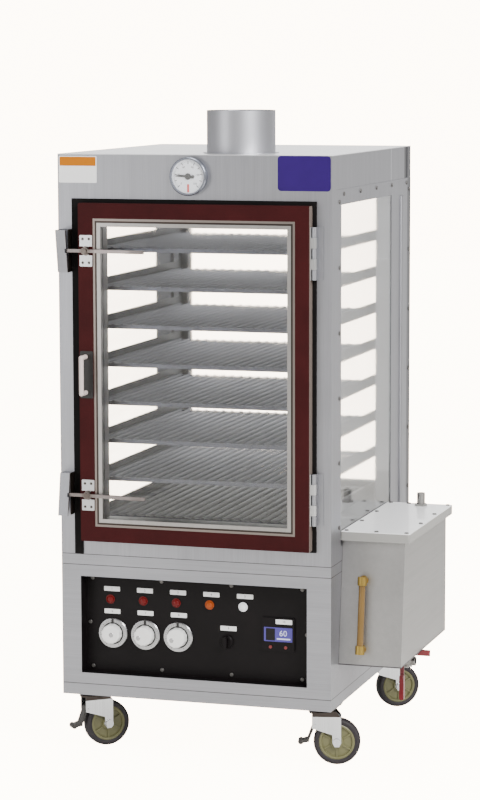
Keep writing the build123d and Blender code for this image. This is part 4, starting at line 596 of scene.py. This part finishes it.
class CabinetStudio(bpy.types.PropertyGroup):
    floor: tint("Floor", "Colour of the floor", (0.93, 0.91, 0.87))
    sky: tint("Surroundings", "Colour of the light from all round", (1.0, 0.985, 0.96))
    strength: FloatProperty(name="Strength", description="Strength of the light from all round", default=0.6,
                            min=0, max=5)
    white: tint("White", "Colour of the floor and surroundings as the camera sees them", (1.0, 0.84, 0.68))
    glow: FloatProperty(name="Glow", description="How bright the camera sees the floor and surroundings",
                        default=14.0, min=0, max=40)
    focal: FloatProperty(name="Focal length", description="Focal length of the camera on a 36 mm long side",
                         default=121.68, min=20, max=300, unit="CAMERA")


# Operators

class CABINET_OT_steel(bpy.types.Operator):
    """Brushed and polished steel on the casing, frames, shelves and fittings"""
    bl_idname = "cabinet.steel"
    bl_label = "Steel"

    # Half widths of lines and radii of spots
    tank_bottom_shade = 2.5 * MM
    tank_corner = 1.5 * MM
    keeper_side_shade = 0.6 * MM
    lever_hub = 13 * MM
    plate_hub = 10 * MM

    # Places round a lever's axis, and a turned outline
    plate_screws = ((-7, -25), (-7, 25), (7, -25), (7, 25))
    screw_head = ((2.9, 0.4), (2.9, -0.05), (0, -0.1))

    def execute(self, context):
        look = context.scene.cabinet_steel
        self.casing(look)
        self.chamber(look)
        self.tank(look)
        self.latches(look)
        return {"FINISHED"}

    def casing(self, look):
        """Outer sheets with dark seams where they meet, the roof in near white steel as a painted sheen, the
        flue and the screws.
        """
        upright = brushed_material("sheet_upright", look.color, UPRIGHT, look.rough)
        across = brushed_material("sheet_across", look.color, ALONG_X, look.rough)
        # Painted sheen: the roof's steel is near white, standing in for the pale surroundings it reflects
        roof = brushed_material("roof_painted_sheen", (0.88, 0.88, 0.90), ALONG_Y, 0.34)
        flue = brushed_material("flue_steel", shade(look.color, 1.22), UPRIGHT, 0.44, 0.06, 0.92)
        screw = brushed_material("screw_steel", (0.15, 0.145, 0.14), ALONG_X, 0.4)
        deck_low, deck_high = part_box("deck_frame")
        for material in (upright, across):
            for height in (BASE_HIGH.z, deck_low.z, deck_high.z):
                line_at(material, "Z", height, look.seam / 2, SEAM_AND_SHADE)
        node_material(upright, "front_frame", "glazing_frames", "hinge_post_leaves")
        node_material(across, "lower_housing", "deck_frame", "base_tray")
        node_material(roof, "roof_panels")
        node_material(flue, "flue_collar")
        node_material(screw, "case_screws")

    def chamber(self, look):
        """Side and rear frames, shelves, floor grid, pan and the bright parts inside, with painted shade on
        the rear frame, racks, shelves, floor grid and rear stile, and a painted highlight down the window
        jamb.
        """
        sides = brushed_material("sheet_sides", look.color, UPRIGHT, look.rough)
        # Painted highlight: a near white line down the window jamb
        line_at(sides, "Y", place(0, WINDOW_JAMB, 0).y, MM, (0.95, 0.96, 1.0))
        # Painted shade: the rear stile inside the chamber darkened
        stile_start, stile_end = (place(0, depth, 0).y for depth in REAR_STILE)
        line_across(sides, "Y", stile_start, stile_end, (0.13, 0.13, 0.14))
        # Painted shade: the rear frame, racks, shelves and floor grid inside the chamber are darker copies of
        # the sheet
        rear = brushed_material("sheet_rear_painted_shade", shade(look.color, 0.45), UPRIGHT, look.rough)
        deep = brushed_material("sheet_deep", look.color, ALONG_Y, look.rough)
        bright = brushed_material("fitting_steel", look.bright, UPRIGHT, 0.28, 0.1, 0.88)
        shelf = brushed_material("shelf_steel_painted_shade", (0.252, 0.256, 0.302), ALONG_Y, 0.4)
        grid = brushed_material("grid_steel_painted_shade", shade(look.color, 0.42), ALONG_Y, 0.45)
        node_material(sides, "side_frames")
        node_material(rear, "rear_frame", "shelf_racks")
        node_material(deep, "water_pan")
        node_material(bright, "hinge_door_leaves", "heating_elements", "float_arm")
        node_material(shelf, "wire_shelves")
        node_material(grid, "floor_grid")

    def tank(self, look):
        """Tank sheet with painted shade along its bottom edge and a line down its corner at the housing."""
        tank = brushed_material("tank_steel", (0.47, 0.463, 0.455), ALONG_Y, look.rough)
        low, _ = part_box("tank_body")
        # Painted shade: a dark line along the tank's bottom edge, for the shade under it
        line_at(tank, "Z", low.z, self.tank_bottom_shade, SEAM_AND_SHADE)
        line_at(tank, "X", low.x, self.tank_corner, (0.28, 0.27, 0.27))
        node_material(tank, "tank_body")

    def latches(self, look):
        """Keepers with painted shade down their sides, levers in a darker brown steel as a painted reflection
        and with a dark hub, and the latch plates' screws.
        """
        keeper = brushed_material("keeper_steel", shade(look.color, 0.85), UPRIGHT, 0.4)
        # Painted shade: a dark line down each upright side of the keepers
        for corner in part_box("latch_keepers"):
            line_at(keeper, "X", corner.x, self.keeper_side_shade, (0.11, 0.085, 0.07))
        # Painted reflection: the levers' steel is a darker brown, standing in for the surroundings they mirror
        lever = brushed_material("lever_steel_painted_reflection", (0.27, 0.235, 0.225), ALONG_X, 0.36)
        plate = brushed_material("latch_plate_steel", look.bright, UPRIGHT, 0.28, 0.1, 0.88)
        dark = brushed_material("latch_screw", (0.10, 0.09, 0.085), ALONG_X, 0.4)
        screws = bmesh.new()
        x0 = front_middle("latch_plates")[0]
        for name in ("upper_latch_lever", "lower_latch_lever"):
            z0 = front_middle(name)[2]
            hub = place(x0, 0, z0)
            spot_on(lever, hub, self.lever_hub, (0.20, 0.17, 0.155))
            spot_on(plate, hub, self.plate_hub, (0.16, 0.135, 0.12))
            for across, up in self.plate_screws:
                turned(screws, self.screw_head, place(x0 + across, LATCH_PLATE_FACE, z0 + up), segments=24)
        node_material(keeper, "latch_keepers")
        node_material(lever, "upper_latch_lever", "lower_latch_lever")
        node_material(plate, "latch_plates")
        mesh_object("latch_plate_screws", screws, "door", dark)


class CABINET_OT_door(bpy.types.Operator):
    """Paint, rubber and glass of the door and the chamber"""
    bl_idname = "cabinet.door"
    bl_label = "Door and panes"

    def execute(self, context):
        look = context.scene.cabinet_door
        paint = coated_material("door_paint", look.paint, 1.5, 0.5, 0.12, Specular_IOR_Level=0.1)
        line_at(paint, "X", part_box("door_frame")[1].x, 1.4 * MM, (0.15, 0.12, 0.105))
        rubber = coated_material("seal_rubber", look.rubber, 1.8, 0.7, 0.15, 900.0, Specular_IOR_Level=0.12)
        bezel = brushed_material("bezel_steel", (0.50, 0.48, 0.46), UPRIGHT, 0.34)
        band_round(bezel, "door_bezel", -1, 5, look.edge)
        # Painted shade: a dark band inside the lip, in place of the shade in a groove
        band_round(bezel, "door_bezel", 5, 9, (0.06, 0.05, 0.045))
        pull = coated_material("pull_finish", (0.62, 0.52, 0.50), 1.155, 0.4, 0.12, bump=0.0)
        line_at(pull, "Y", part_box("door_pull")[1].y, 2.2 * MM, (0.008, 0.007, 0.007))
        node_material(paint, "door_frame")
        node_material(rubber, "door_gasket")
        node_material(bezel, "door_bezel")
        node_material(pull, "door_pull")
        node_material(glass_material("pane_glass", look.glass), "door_glass", "chamber_glass")
        return {"FINISHED"}


class CABINET_OT_gauge(bpy.types.Operator):
    """Dial, ticks, numbers and lens of the temperature gauge"""
    bl_idname = "cabinet.gauge"
    bl_label = "Gauge"

    # Outlines and radii in millimetres, angles in degrees
    dial_depth = 4.5
    dial_outline = ((0, -0.25), (35.2, -0.25), (35.2, 0.0))
    scale_start = 225.0
    scale_sweep = 270.0
    steps = 50
    step_radii = (28.5, 32.0)
    tenth_radii = (26.0, 32.0)
    number_radius = 21.0
    number_height = 4.2
    red_radii = (16.0, 33.0)
    hub = ((0, 2.0), (6.2, 2.0), (6.8, 2.3), (6.8, 2.7))
    blade = ((-27, 0.4), (-27, 1.4), (0, 3.2), (13, 3.0), (13, -3.0), (0, -3.2))
    blade_tilt = -5.0
    lens_outline = ((0, 0.6), (20, 0.75), (35.3, 1.2), (35.3, 2.2), (20, 1.9), (0, 1.8))

    def execute(self, context):
        chrome = brushed_material("gauge_chrome", (0.34, 0.36, 0.42), UPRIGHT, 0.25, 0.05, 0.95, 0.02)
        black = coated_material("pointer_black", (0.012, 0.012, 0.012), 1.5, 0.4, 0.1)
        cover = start_material("lens_glass", Roughness=0.04, Alpha=0.06)[0]
        node_material(chrome, "gauge_case")
        node_material(black, "gauge_pointer")
        x0, front, z0 = front_middle("gauge_case")
        self.dial(x0, front + self.dial_depth, z0)
        self.pointer(x0, front, z0, black)
        lens = bmesh.new()
        turned(lens, self.lens_outline, place(x0, front, z0))
        mesh_object("gauge_lens", lens, "cabinet", cover, slot="clear_glass")
        return {"FINISHED"}

    def dial(self, x0, face, z0):
        """White dial with 50 steps, six numbers and a red mark at the bottom."""
        white = coated_material("dial_face", (0.86, 0.88, 0.93), 1.04, 0.45, 0.1)
        ink = coated_material("dial_ink", (0.02, 0.02, 0.025), 1.5, 0.5, 0.1)
        red = coated_material("dial_red", (0.55, 0.03, 0.02), 1.2, 0.5, 0.1)
        marks = (face - 0.4, face - 0.25)
        dial = bmesh.new()
        turned(dial, self.dial_outline, place(x0, face, z0))
        for i in range(self.steps + 1):
            angle = self.scale_start - self.scale_sweep * i / self.steps
            radii, width = (self.step_radii, 0.4) if i % 5 else (self.tenth_radii, 1.5)
            radial_mark(dial, x0, z0, angle, radii, width, *marks, 1)
        for i in range(0, self.steps + 1, 10):
            angle = math.radians(self.scale_start - self.scale_sweep * i / self.steps)
            across, up = self.number_radius * math.cos(angle), self.number_radius * math.sin(angle)
            numbers(dial, str(3 * i), self.number_height, (x0 + across, face - 0.35, z0 + up), 0.1, 1)
        radial_mark(dial, x0, z0, -90.0, self.red_radii, 4.5, *marks, 2)
        mesh_object("gauge_dial", dial, "cabinet", white, ink, red, slot="dial_white")

    def pointer(self, x0, front, z0, black):
        """Hub and blade that ride on the pointer."""
        shape = bmesh.new()
        turned(shape, self.hub, place(x0, front, z0), segments=40)
        tilt = Matrix.Rotation(math.radians(self.blade_tilt), 2)
        points = [Vector((x0, z0)) + tilt @ Vector(point) for point in self.blade]
        prism(shape, points, front + 2.1, front + 2.6)
        mesh_object("pointer_blade", shape, "pointer", black)


class CABINET_OT_plates(bpy.types.Operator):
    """Blank enamelled plates on the fascia"""
    bl_idname = "cabinet.plates"
    bl_label = "Fascia plates"

    def execute(self, context):
        indigo = coated_material("plate_indigo", (0.020, 0.0035, 0.095), 1.25, 0.34, 0.1,
                                 Specular_IOR_Level=0.25)
        amber = coated_material("plate_amber", (0.50, 0.155, 0.001), 1.05, 0.5, 0.1, Specular_IOR_Level=0.1)
        white = coated_material("plate_white", (0.93, 0.93, 0.93), 1.05, 0.4, 0.1)
        blue = bmesh.new()
        front_plate(blue, BLUE_PLATE_AT, 113, 72, 0.8, 7)
        mesh_object("blue_plate", blue, "cabinet", indigo)
        two_tone = bmesh.new()
        front_plate(two_tone, TWO_TONE_PLATE_AT, 85, 56, 0.5, 2)
        front_plate(two_tone, AMBER_FIELD_AT, 81, 19, 0.15, 1.5, 1)
        mesh_object("two_tone_plate", two_tone, "cabinet", white, amber)
        return {"FINISHED"}


class CABINET_OT_panel(bpy.types.Operator):
    """Control panel: its coat, labels, lamps, timer and knobs"""
    bl_idname = "cabinet.panel"
    bl_label = "Control panel"

    # Red, orange and white, then outlines and radii in millimetres and angles in degrees
    lamp_colors = ((0.11, 0.002, 0.002, 1), (0.30, 0.050, 0.003, 1), (0.90, 0.90, 0.93, 1))
    skirt = ((3, 14), (3, 0), (32.0, 0), (33.0, -0.8), (33.0, -2.4), (31.5, -4.0), (29.5, -4.4), (22.5, -4.0))
    shadow_ring = ((24.2, -4.25), (21.0, -4.5))
    reflection_disc = ((0, -20.9), (4.2, -20.8), (5.0, -20.2), (5.0, -19.0))
    cap_radius = 21.5
    # Share of the cap's radius, and distance along its axis
    cap = ((0.0, -4.0), (1.0, -4.0), (1.0, -6.0), (0.97, -18.4), (0.93, -20.0), (0.86, -20.6), (0.40, -20.0),
           (0.0, -19.8))
    flutes = 12
    flute_depth = 0.9
    scale_start = 240
    scale_step = 10
    scale_marks = 31
    mark_radii = (25.5, 29.0)

    def execute(self, context):
        look = context.scene.cabinet_panel
        black = coated_material("panel_coat", look.panel, 1.5, 0.42, 0.15, 500.0, Specular_IOR_Level=0.15)
        node_material(black, "control_panel", "selector_knob", "timer_body")
        node_material(coated_material("device_plastic", (0.2, 0.2, 0.2), 1.2), "control_gear")
        node_material(coated_material("gland_plastic", (0.015, 0.015, 0.015), 1.5), "cable_gland")
        self.lamps()
        self.timer()
        self.knobs(look)
        self.labels(look)
        return {"FINISHED"}

    def labels(self, look):
        """White labels with plain numbers over the lamps and knobs."""
        white = coated_material("label_white", (0.85, 0.85, 0.85), 1.05, 0.45, 0.1)
        ink = coated_material("label_ink", (0.05, 0.04, 0.05), 1.2, 0.5, 0.1)
        shape = bmesh.new()
        width, height = (size / MM for size in look.label_size)
        for i, (x, y, z) in enumerate(LAMP_LABELS + KNOB_LABELS + OTHER_LABELS):
            front_plate(shape, (x, y, z), width, height, 0.6, 1.2)
            numbers(shape, str(i + 1), 5.0, (x, y - 0.65, z), 0.08, 1)
        mesh_object("panel_labels", shape, "cabinet", white, ink)

    def lamps(self):
        """Lit lenses: the first three red, the fourth orange and the last white."""
        material, tree, shader, where = start_material("lamp_lens", Roughness=0.25, Specular_IOR_Level=0.3)
        across = split(tree, where)["X"]
        color, *others = self.lamp_colors
        for change, other in zip(LAMP_CHANGES, others):
            beyond = math_node(tree, "GREATER_THAN", across, place(change, 0, 0).x)
            color = mix_colors(tree, beyond, color, other)
        tree.links.new(color, shader.inputs["Base Color"])
        tree.links.new(color, shader.inputs["Emission Color"])
        shader.inputs["Emission Strength"].default_value = 0.12
        node_material(material, "indicator_lamps")

    def timer(self):
        """Blue display with a dark field, a number and a line under it, and red buttons."""
        black = coated_material("timer_black", (0.008, 0.007, 0.007), 1.5, 0.35, 0.1, Specular_IOR_Level=0.2)
        blue = coated_material("timer_blue", (0.06, 0.045, 0.26), 1.2, 0.3, 0.1)
        light = coated_material("timer_light", (0.62, 0.62, 0.9), 1.2, 0.3, 0.1)
        red = coated_material("button_red", (0.16, 0.02, 0.02), 1.2, 0.4, 0.1)
        node_material(red, "timer_button_left", "timer_button_right")
        x0, front, z0 = front_middle("timer_body")
        face = front + 0.5
        shape = bmesh.new()
        front_plate(shape, (x0, front + 1, z0), 62.6, 30.6, 0.5, 1.5)
        front_plate(shape, (x0 - 17, face, z0), 20, 26, 0.2, 1.0, 1)
        front_plate(shape, (x0 + 12, face, z0 - 9), 30, 3.0, 0.2, 1.0, 2)
        numbers(shape, "60", 13, (x0 + 11, face - 0.05, z0 + 2.5), 0.12, 2)
        mesh_object("timer_display", shape, "cabinet", blue, black, light)

    def knobs(self, look):
        """Thermostat dials: bright skirt with a scale, fluted pale knob with a small chrome disc on its cap as
        a painted reflection, and a dark pointer mark.
        """
        chrome = brushed_material("skirt_chrome", (0.52, 0.52, 0.53), ALONG_X, 0.25, 0.08, 0.9, 0.03)
        pale = coated_material("knob_plastic", look.knob, 1.06, 0.3, 0.1, Coat_Weight=0.3)
        ink = coated_material("scale_ink", (0.015, 0.015, 0.015), 1.5, 0.4, 0.1)
        back = PANEL_FACE - 0.6
        for i, (across, up) in enumerate(KNOB_REFLECTION_SPOTS):
            node = "thermostat_knob_%d" % (i + 1)
            x0, _, z0 = front_middle(node)
            centre = place(x0, back, z0)
            shape = bmesh.new()
            turned(shape, self.skirt, centre, segments=72)
            turned(shape, self.shadow_ring, centre, segments=72, slot=2)
            self.fluted_cap(shape, centre, 1)
            for k in range(self.scale_marks):
                angle = self.scale_start - self.scale_step * k
                width = 0.4 if k % 5 else 0.9
                radial_mark(shape, x0, z0, angle, self.mark_radii, width, back - 4.5, back - 4.2, 2)
            front_plate(shape, (x0, back - 4.2, z0 + 27.0), 5.5, 9, 0.6, 0.8, 2)
            # Painted reflection: a small chrome disc on the cap
            turned(shape, self.reflection_disc, place(x0 + across, back, z0 + up), segments=32)
            mesh_object("thermostat_dial_%d" % (i + 1), shape, "thermostat_%d" % (i + 1), chrome, pale, ink,
                        slot="knob_white", instead_of=(node,))

    def fluted_cap(self, shape, centre, slot):
        """The knob's cap, with shallow flutes round its side."""
        count = 96
        waves = [0.5 + 0.5 * math.cos(self.flutes * TURN * i / count) for i in range(count)]
        where = Matrix.Translation(centre) @ BACKWARD
        rings = []
        for share, along in self.cap:
            depth = self.flute_depth if share > 0.9 else 0.0
            radii = [share * self.cap_radius - depth * wave for wave in waves] if share else [0.0]
            rings.append(ring(shape, where, radii, along))
        skin(shape, rings, slot)


class CABINET_OT_tank(bpy.types.Operator):
    """Lid, sight gauge, valves and levers of the water tank"""
    bl_idname = "cabinet.tank"
    bl_label = "Tank"

    def execute(self, context):
        look = context.scene.cabinet_tank
        lid = coated_material("lid_coat", look.lid, 1.05, 0.35, 0.15, 500.0, Coat_Weight=0.3)
        # Painted shade: the lid's sides, below its top, greyed
        low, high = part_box("tank_lid")
        line_across(lid, "Z", low.z - MM, high.z - 1.5 * MM, (0.30, 0.295, 0.28))
        tube = coated_material("tube_amber", look.tube, 1.4, 0.12, 0.0, bump=0.0, IOR=1.4, Coat_Weight=0.4,
                               Transmission_Weight=0.1)
        brass = brushed_material("fitting_brass", (0.50, 0.34, 0.09), UPRIGHT, 0.3, 0.1, 0.85)
        nickel = brushed_material("valve_nickel", (0.42, 0.41, 0.39), ALONG_X, 0.3, 0.12, 0.85)
        sleeve = coated_material("lever_red", look.lever, 1.3, 0.35, 0.12, Coat_Weight=0.3)
        node_material(lid, "tank_lid")
        node_material(tube, "sight_tube")
        node_material(brass, "sight_fittings")
        node_material(nickel, "drain_pipes", "inlet_valve")
        node_material(sleeve, "pan_drain_lever", "tank_drain_lever")
        return {"FINISHED"}


class CABINET_OT_casters(bpy.types.Operator):
    """Wheels with treads and ribbed hubs, zinc forks with painted shade at their swivel race, dark mounts that
    are partly their own dark steel and partly painted shade, and dark pedals
    """
    bl_idname = "cabinet.casters"
    bl_label = "Casters"

    # Heights between which the fork is painted dark as shade under the cabinet, at its swivel race, then
    # turned outlines of half a wheel
    race_shade_heights = (105, 140)
    tread_side = ((38, 12.2), (41, 13.4), (44.5, 14.0), (47.6, 12.6), (49.4, 9.6), (50, 5.5))
    tread_top = (50, 0)
    bush = ((5.3, 15.0), (9.0, 15.0), (9.6, 14.2))
    dish = ((9.6, 14.2), (13.5, 13.6), (14.5, 9.0), (31.5, 8.2), (33.0, 12.6), (36.0, 13.4), (38, 12.2))
    rib = (Vector((13.5, -1.6, 8.0)) * MM, Vector((33.2, 1.6, 11.8)) * MM, 0.6 * MM)

    def execute(self, context):
        look = context.scene.cabinet_casters
        zinc = brushed_material("fork_zinc", (0.84, 0.85, 0.87), UPRIGHT, 0.24, 0.2, 0.8)
        # Painted shade: a dark band round the fork at its swivel race, under the cabinet
        low, high = self.race_shade_heights
        line_across(zinc, "Z", low * MM, high * MM, (0.06, 0.05, 0.045))
        # The mounts: partly their own dark steel, partly painted shade under the cabinet
        brown = brushed_material("mount_dark_and_painted_shade", (0.07, 0.058, 0.05), ALONG_X, 0.45, 0.2, 0.7)
        dark = coated_material("pedal_dark", (0.03, 0.027, 0.025), 1.6, 0.4, 0.15)
        tread = coated_material("tread_rubber", look.tread, 1.8, 0.6, 0.15, 500.0)
        hub = coated_material("hub_plastic", look.hub, 1.25, 0.42, 0.15, 400.0)
        node_material(brown, "caster_mounts")
        for name in ("front_left", "front_right", "rear_left", "rear_right"):
            node_material(zinc, name + "_fork")
            if name.startswith("front"):
                node_material(dark, name + "_brake")
            self.wheel(name, look, tread, hub, zinc)
        return {"FINISHED"}

    def wheel(self, name, look, tread, hub, zinc):
        """A rounded tread on a dished hub with ribs and a metal bush."""
        node = name + "_wheel"
        low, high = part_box(node)
        centre = (low + high) / 2
        axle = Vector(JOINTS[name + "_wheel_roll"]["axis"]).to_track_quat("Z", "Y").to_matrix().to_4x4()
        shape = bmesh.new()
        turned(shape, (*self.tread_side, self.tread_top, *mirrored(self.tread_side)[::-1]), centre, axle, 80)
        turned(shape, (self.bush[0], mirrored(self.bush)[0]), centre, axle, 48, 2)
        for outline, segments, slot in ((self.bush, 48, 2), (self.dish, 80, 1)):
            turned(shape, outline, centre, axle, segments, slot)
            turned(shape, mirrored(outline), centre, axle, segments, slot)
        for i in range(look.ribs):
            turn = Matrix.Rotation(TURN * (i + 0.5) / look.ribs, 4, "Z")
            for side in (-1, 1):
                flip = Matrix.Diagonal((1, 1, side, 1))
                bar(shape, *self.rib, Matrix.Translation(centre) @ axle @ flip @ turn, 1)
        mesh_object(name + "_tyre_and_hub", shape, name + "_roller", tread, hub, zinc, slot="tread",
                    instead_of=(node,))


def mirrored(outline):
    """A turned outline on the other side of the wheel."""
    return [(radius, -along) for radius, along in outline]


class CABINET_OT_studio(bpy.types.Operator):
    """Floor, soft light and camera"""
    bl_idname = "cabinet.studio"
    bl_label = "Studio"

    floor_half = 14.0

    def execute(self, context):
        look = context.scene.cabinet_studio
        self.floor(look)
        self.surroundings(look)
        self.lights()
        self.camera(look)
        return {"FINISHED"}

    def floor(self, look):
        """A pale floor that runs into the surroundings without a horizon."""
        shape = bmesh.new()
        bmesh.ops.create_grid(shape, x_segments=2, y_segments=2, size=self.floor_half)
        ground = bpy.data.objects.new("floor", finish_mesh(shape, "floor"))
        bpy.context.scene.collection.objects.link(ground)
        material = coated_material("floor_coat", look.floor, 1.02, 0.75, 0.1, 60.0, 0.02)
        tree = material.node_tree
        shader = tree.nodes["Principled BSDF"]
        shown = mix_colors(tree, seen_directly(tree), (0.0, 0.0, 0.0, 1.0), rgba(look.white))
        tree.links.new(shown, shader.inputs["Emission Color"])
        shader.inputs["Emission Strength"].default_value = look.glow
        ground.data.materials.append(material)

    def surroundings(self, look):
        """Soft light from all round, and near white where the camera sees it."""
        world = bpy.data.worlds.new("surroundings")
        bpy.context.scene.world = world
        world.use_nodes = True
        tree = world.node_tree
        soft = tree.nodes["Background"]
        pale = tree.nodes.new("ShaderNodeBackground")
        for light, color, strength in ((soft, look.sky, look.strength), (pale, look.white, look.glow)):
            light.inputs["Color"].default_value = rgba(color)
            light.inputs["Strength"].default_value = strength
        both = tree.nodes.new("ShaderNodeMixShader")
        for socket, source in zip(both.inputs, (seen_directly(tree), soft.outputs[0], pale.outputs[0])):
            tree.links.new(source, socket)
        tree.links.new(both.outputs[0], tree.nodes["World Output"].inputs["Surface"])

    def lights(self):
        for name, (spot, target, size, power) in LIGHTS.items():
            lamp = bpy.data.lights.new(name, "AREA")
            lamp.shape = "DISK"
            lamp.size = size
            lamp.energy = power
            holder = bpy.data.objects.new(name, lamp)
            bpy.context.scene.collection.objects.link(holder)
            holder.location = spot
            holder.rotation_euler = (Vector(target) - Vector(spot)).to_track_quat("-Z", "Y").to_euler()

    def camera(self, look):
        """The camera at the photograph's viewpoint."""
        yaw, pitch, roll = (math.radians(angle) for angle in CAMERA_TURN)
        ahead = Vector((-math.sin(yaw), math.cos(yaw), 0))
        right = Vector((math.cos(yaw), math.sin(yaw), 0))
        forward = ahead * math.cos(pitch) - Vector((0, 0, math.sin(pitch)))
        up = right.cross(forward)
        rolled_right = right * math.cos(roll) + up * math.sin(roll)
        rolled_up = up * math.cos(roll) - right * math.sin(roll)
        data = bpy.data.cameras.new("photo_view")
        data.lens = look.focal
        data.sensor_width = 36
        data.clip_end = 100
        eye = bpy.data.objects.new("photo_view", data)
        bpy.context.scene.collection.objects.link(eye)
        turn = Matrix((rolled_right, rolled_up, -forward)).transposed().to_4x4()
        eye.matrix_world = Matrix.Translation(place(*CAMERA_AT)) @ turn
        bpy.context.scene.camera = eye


class CABINET_PT_panel(bpy.types.Panel):
    """Lists the cabinet's groups of pieces"""
    bl_label = "Cabinet"
    bl_idname = "CABINET_PT_panel"
    bl_space_type = "VIEW_3D"
    bl_region_type = "UI"
    bl_category = "Cabinet"

    def draw(self, context):
        for operator in OPERATORS:
            self.layout.operator(operator.bl_idname)


GROUPS = {
    "cabinet_steel": CabinetSteel,
    "cabinet_door": CabinetDoor,
    "cabinet_panel": CabinetPanel,
    "cabinet_tank": CabinetTank,
    "cabinet_casters": CabinetCasters,
    "cabinet_studio": CabinetStudio,
}
OPERATORS = (
    CABINET_OT_studio,
    CABINET_OT_steel,
    CABINET_OT_door,
    CABINET_OT_gauge,
    CABINET_OT_plates,
    CABINET_OT_panel,
    CABINET_OT_tank,
    CABINET_OT_casters,
)


def register():
    for name, group in GROUPS.items():
        bpy.utils.register_class(group)
        setattr(bpy.types.Scene, name, PointerProperty(type=group))
    for operator in OPERATORS:
        bpy.utils.register_class(operator)
    bpy.utils.register_class(CABINET_PT_panel)


def unregister():
    bpy.utils.unregister_class(CABINET_PT_panel)
    for operator in reversed(OPERATORS):
        bpy.utils.unregister_class(operator)
    for name, group in GROUPS.items():
        delattr(bpy.types.Scene, name)
        bpy.utils.unregister_class(group)


def main():
    register()
    for operator in OPERATORS:
        area, name = operator.bl_idname.split(".")
        getattr(getattr(bpy.ops, area), name)()


if __name__ == "__main__":
    main()
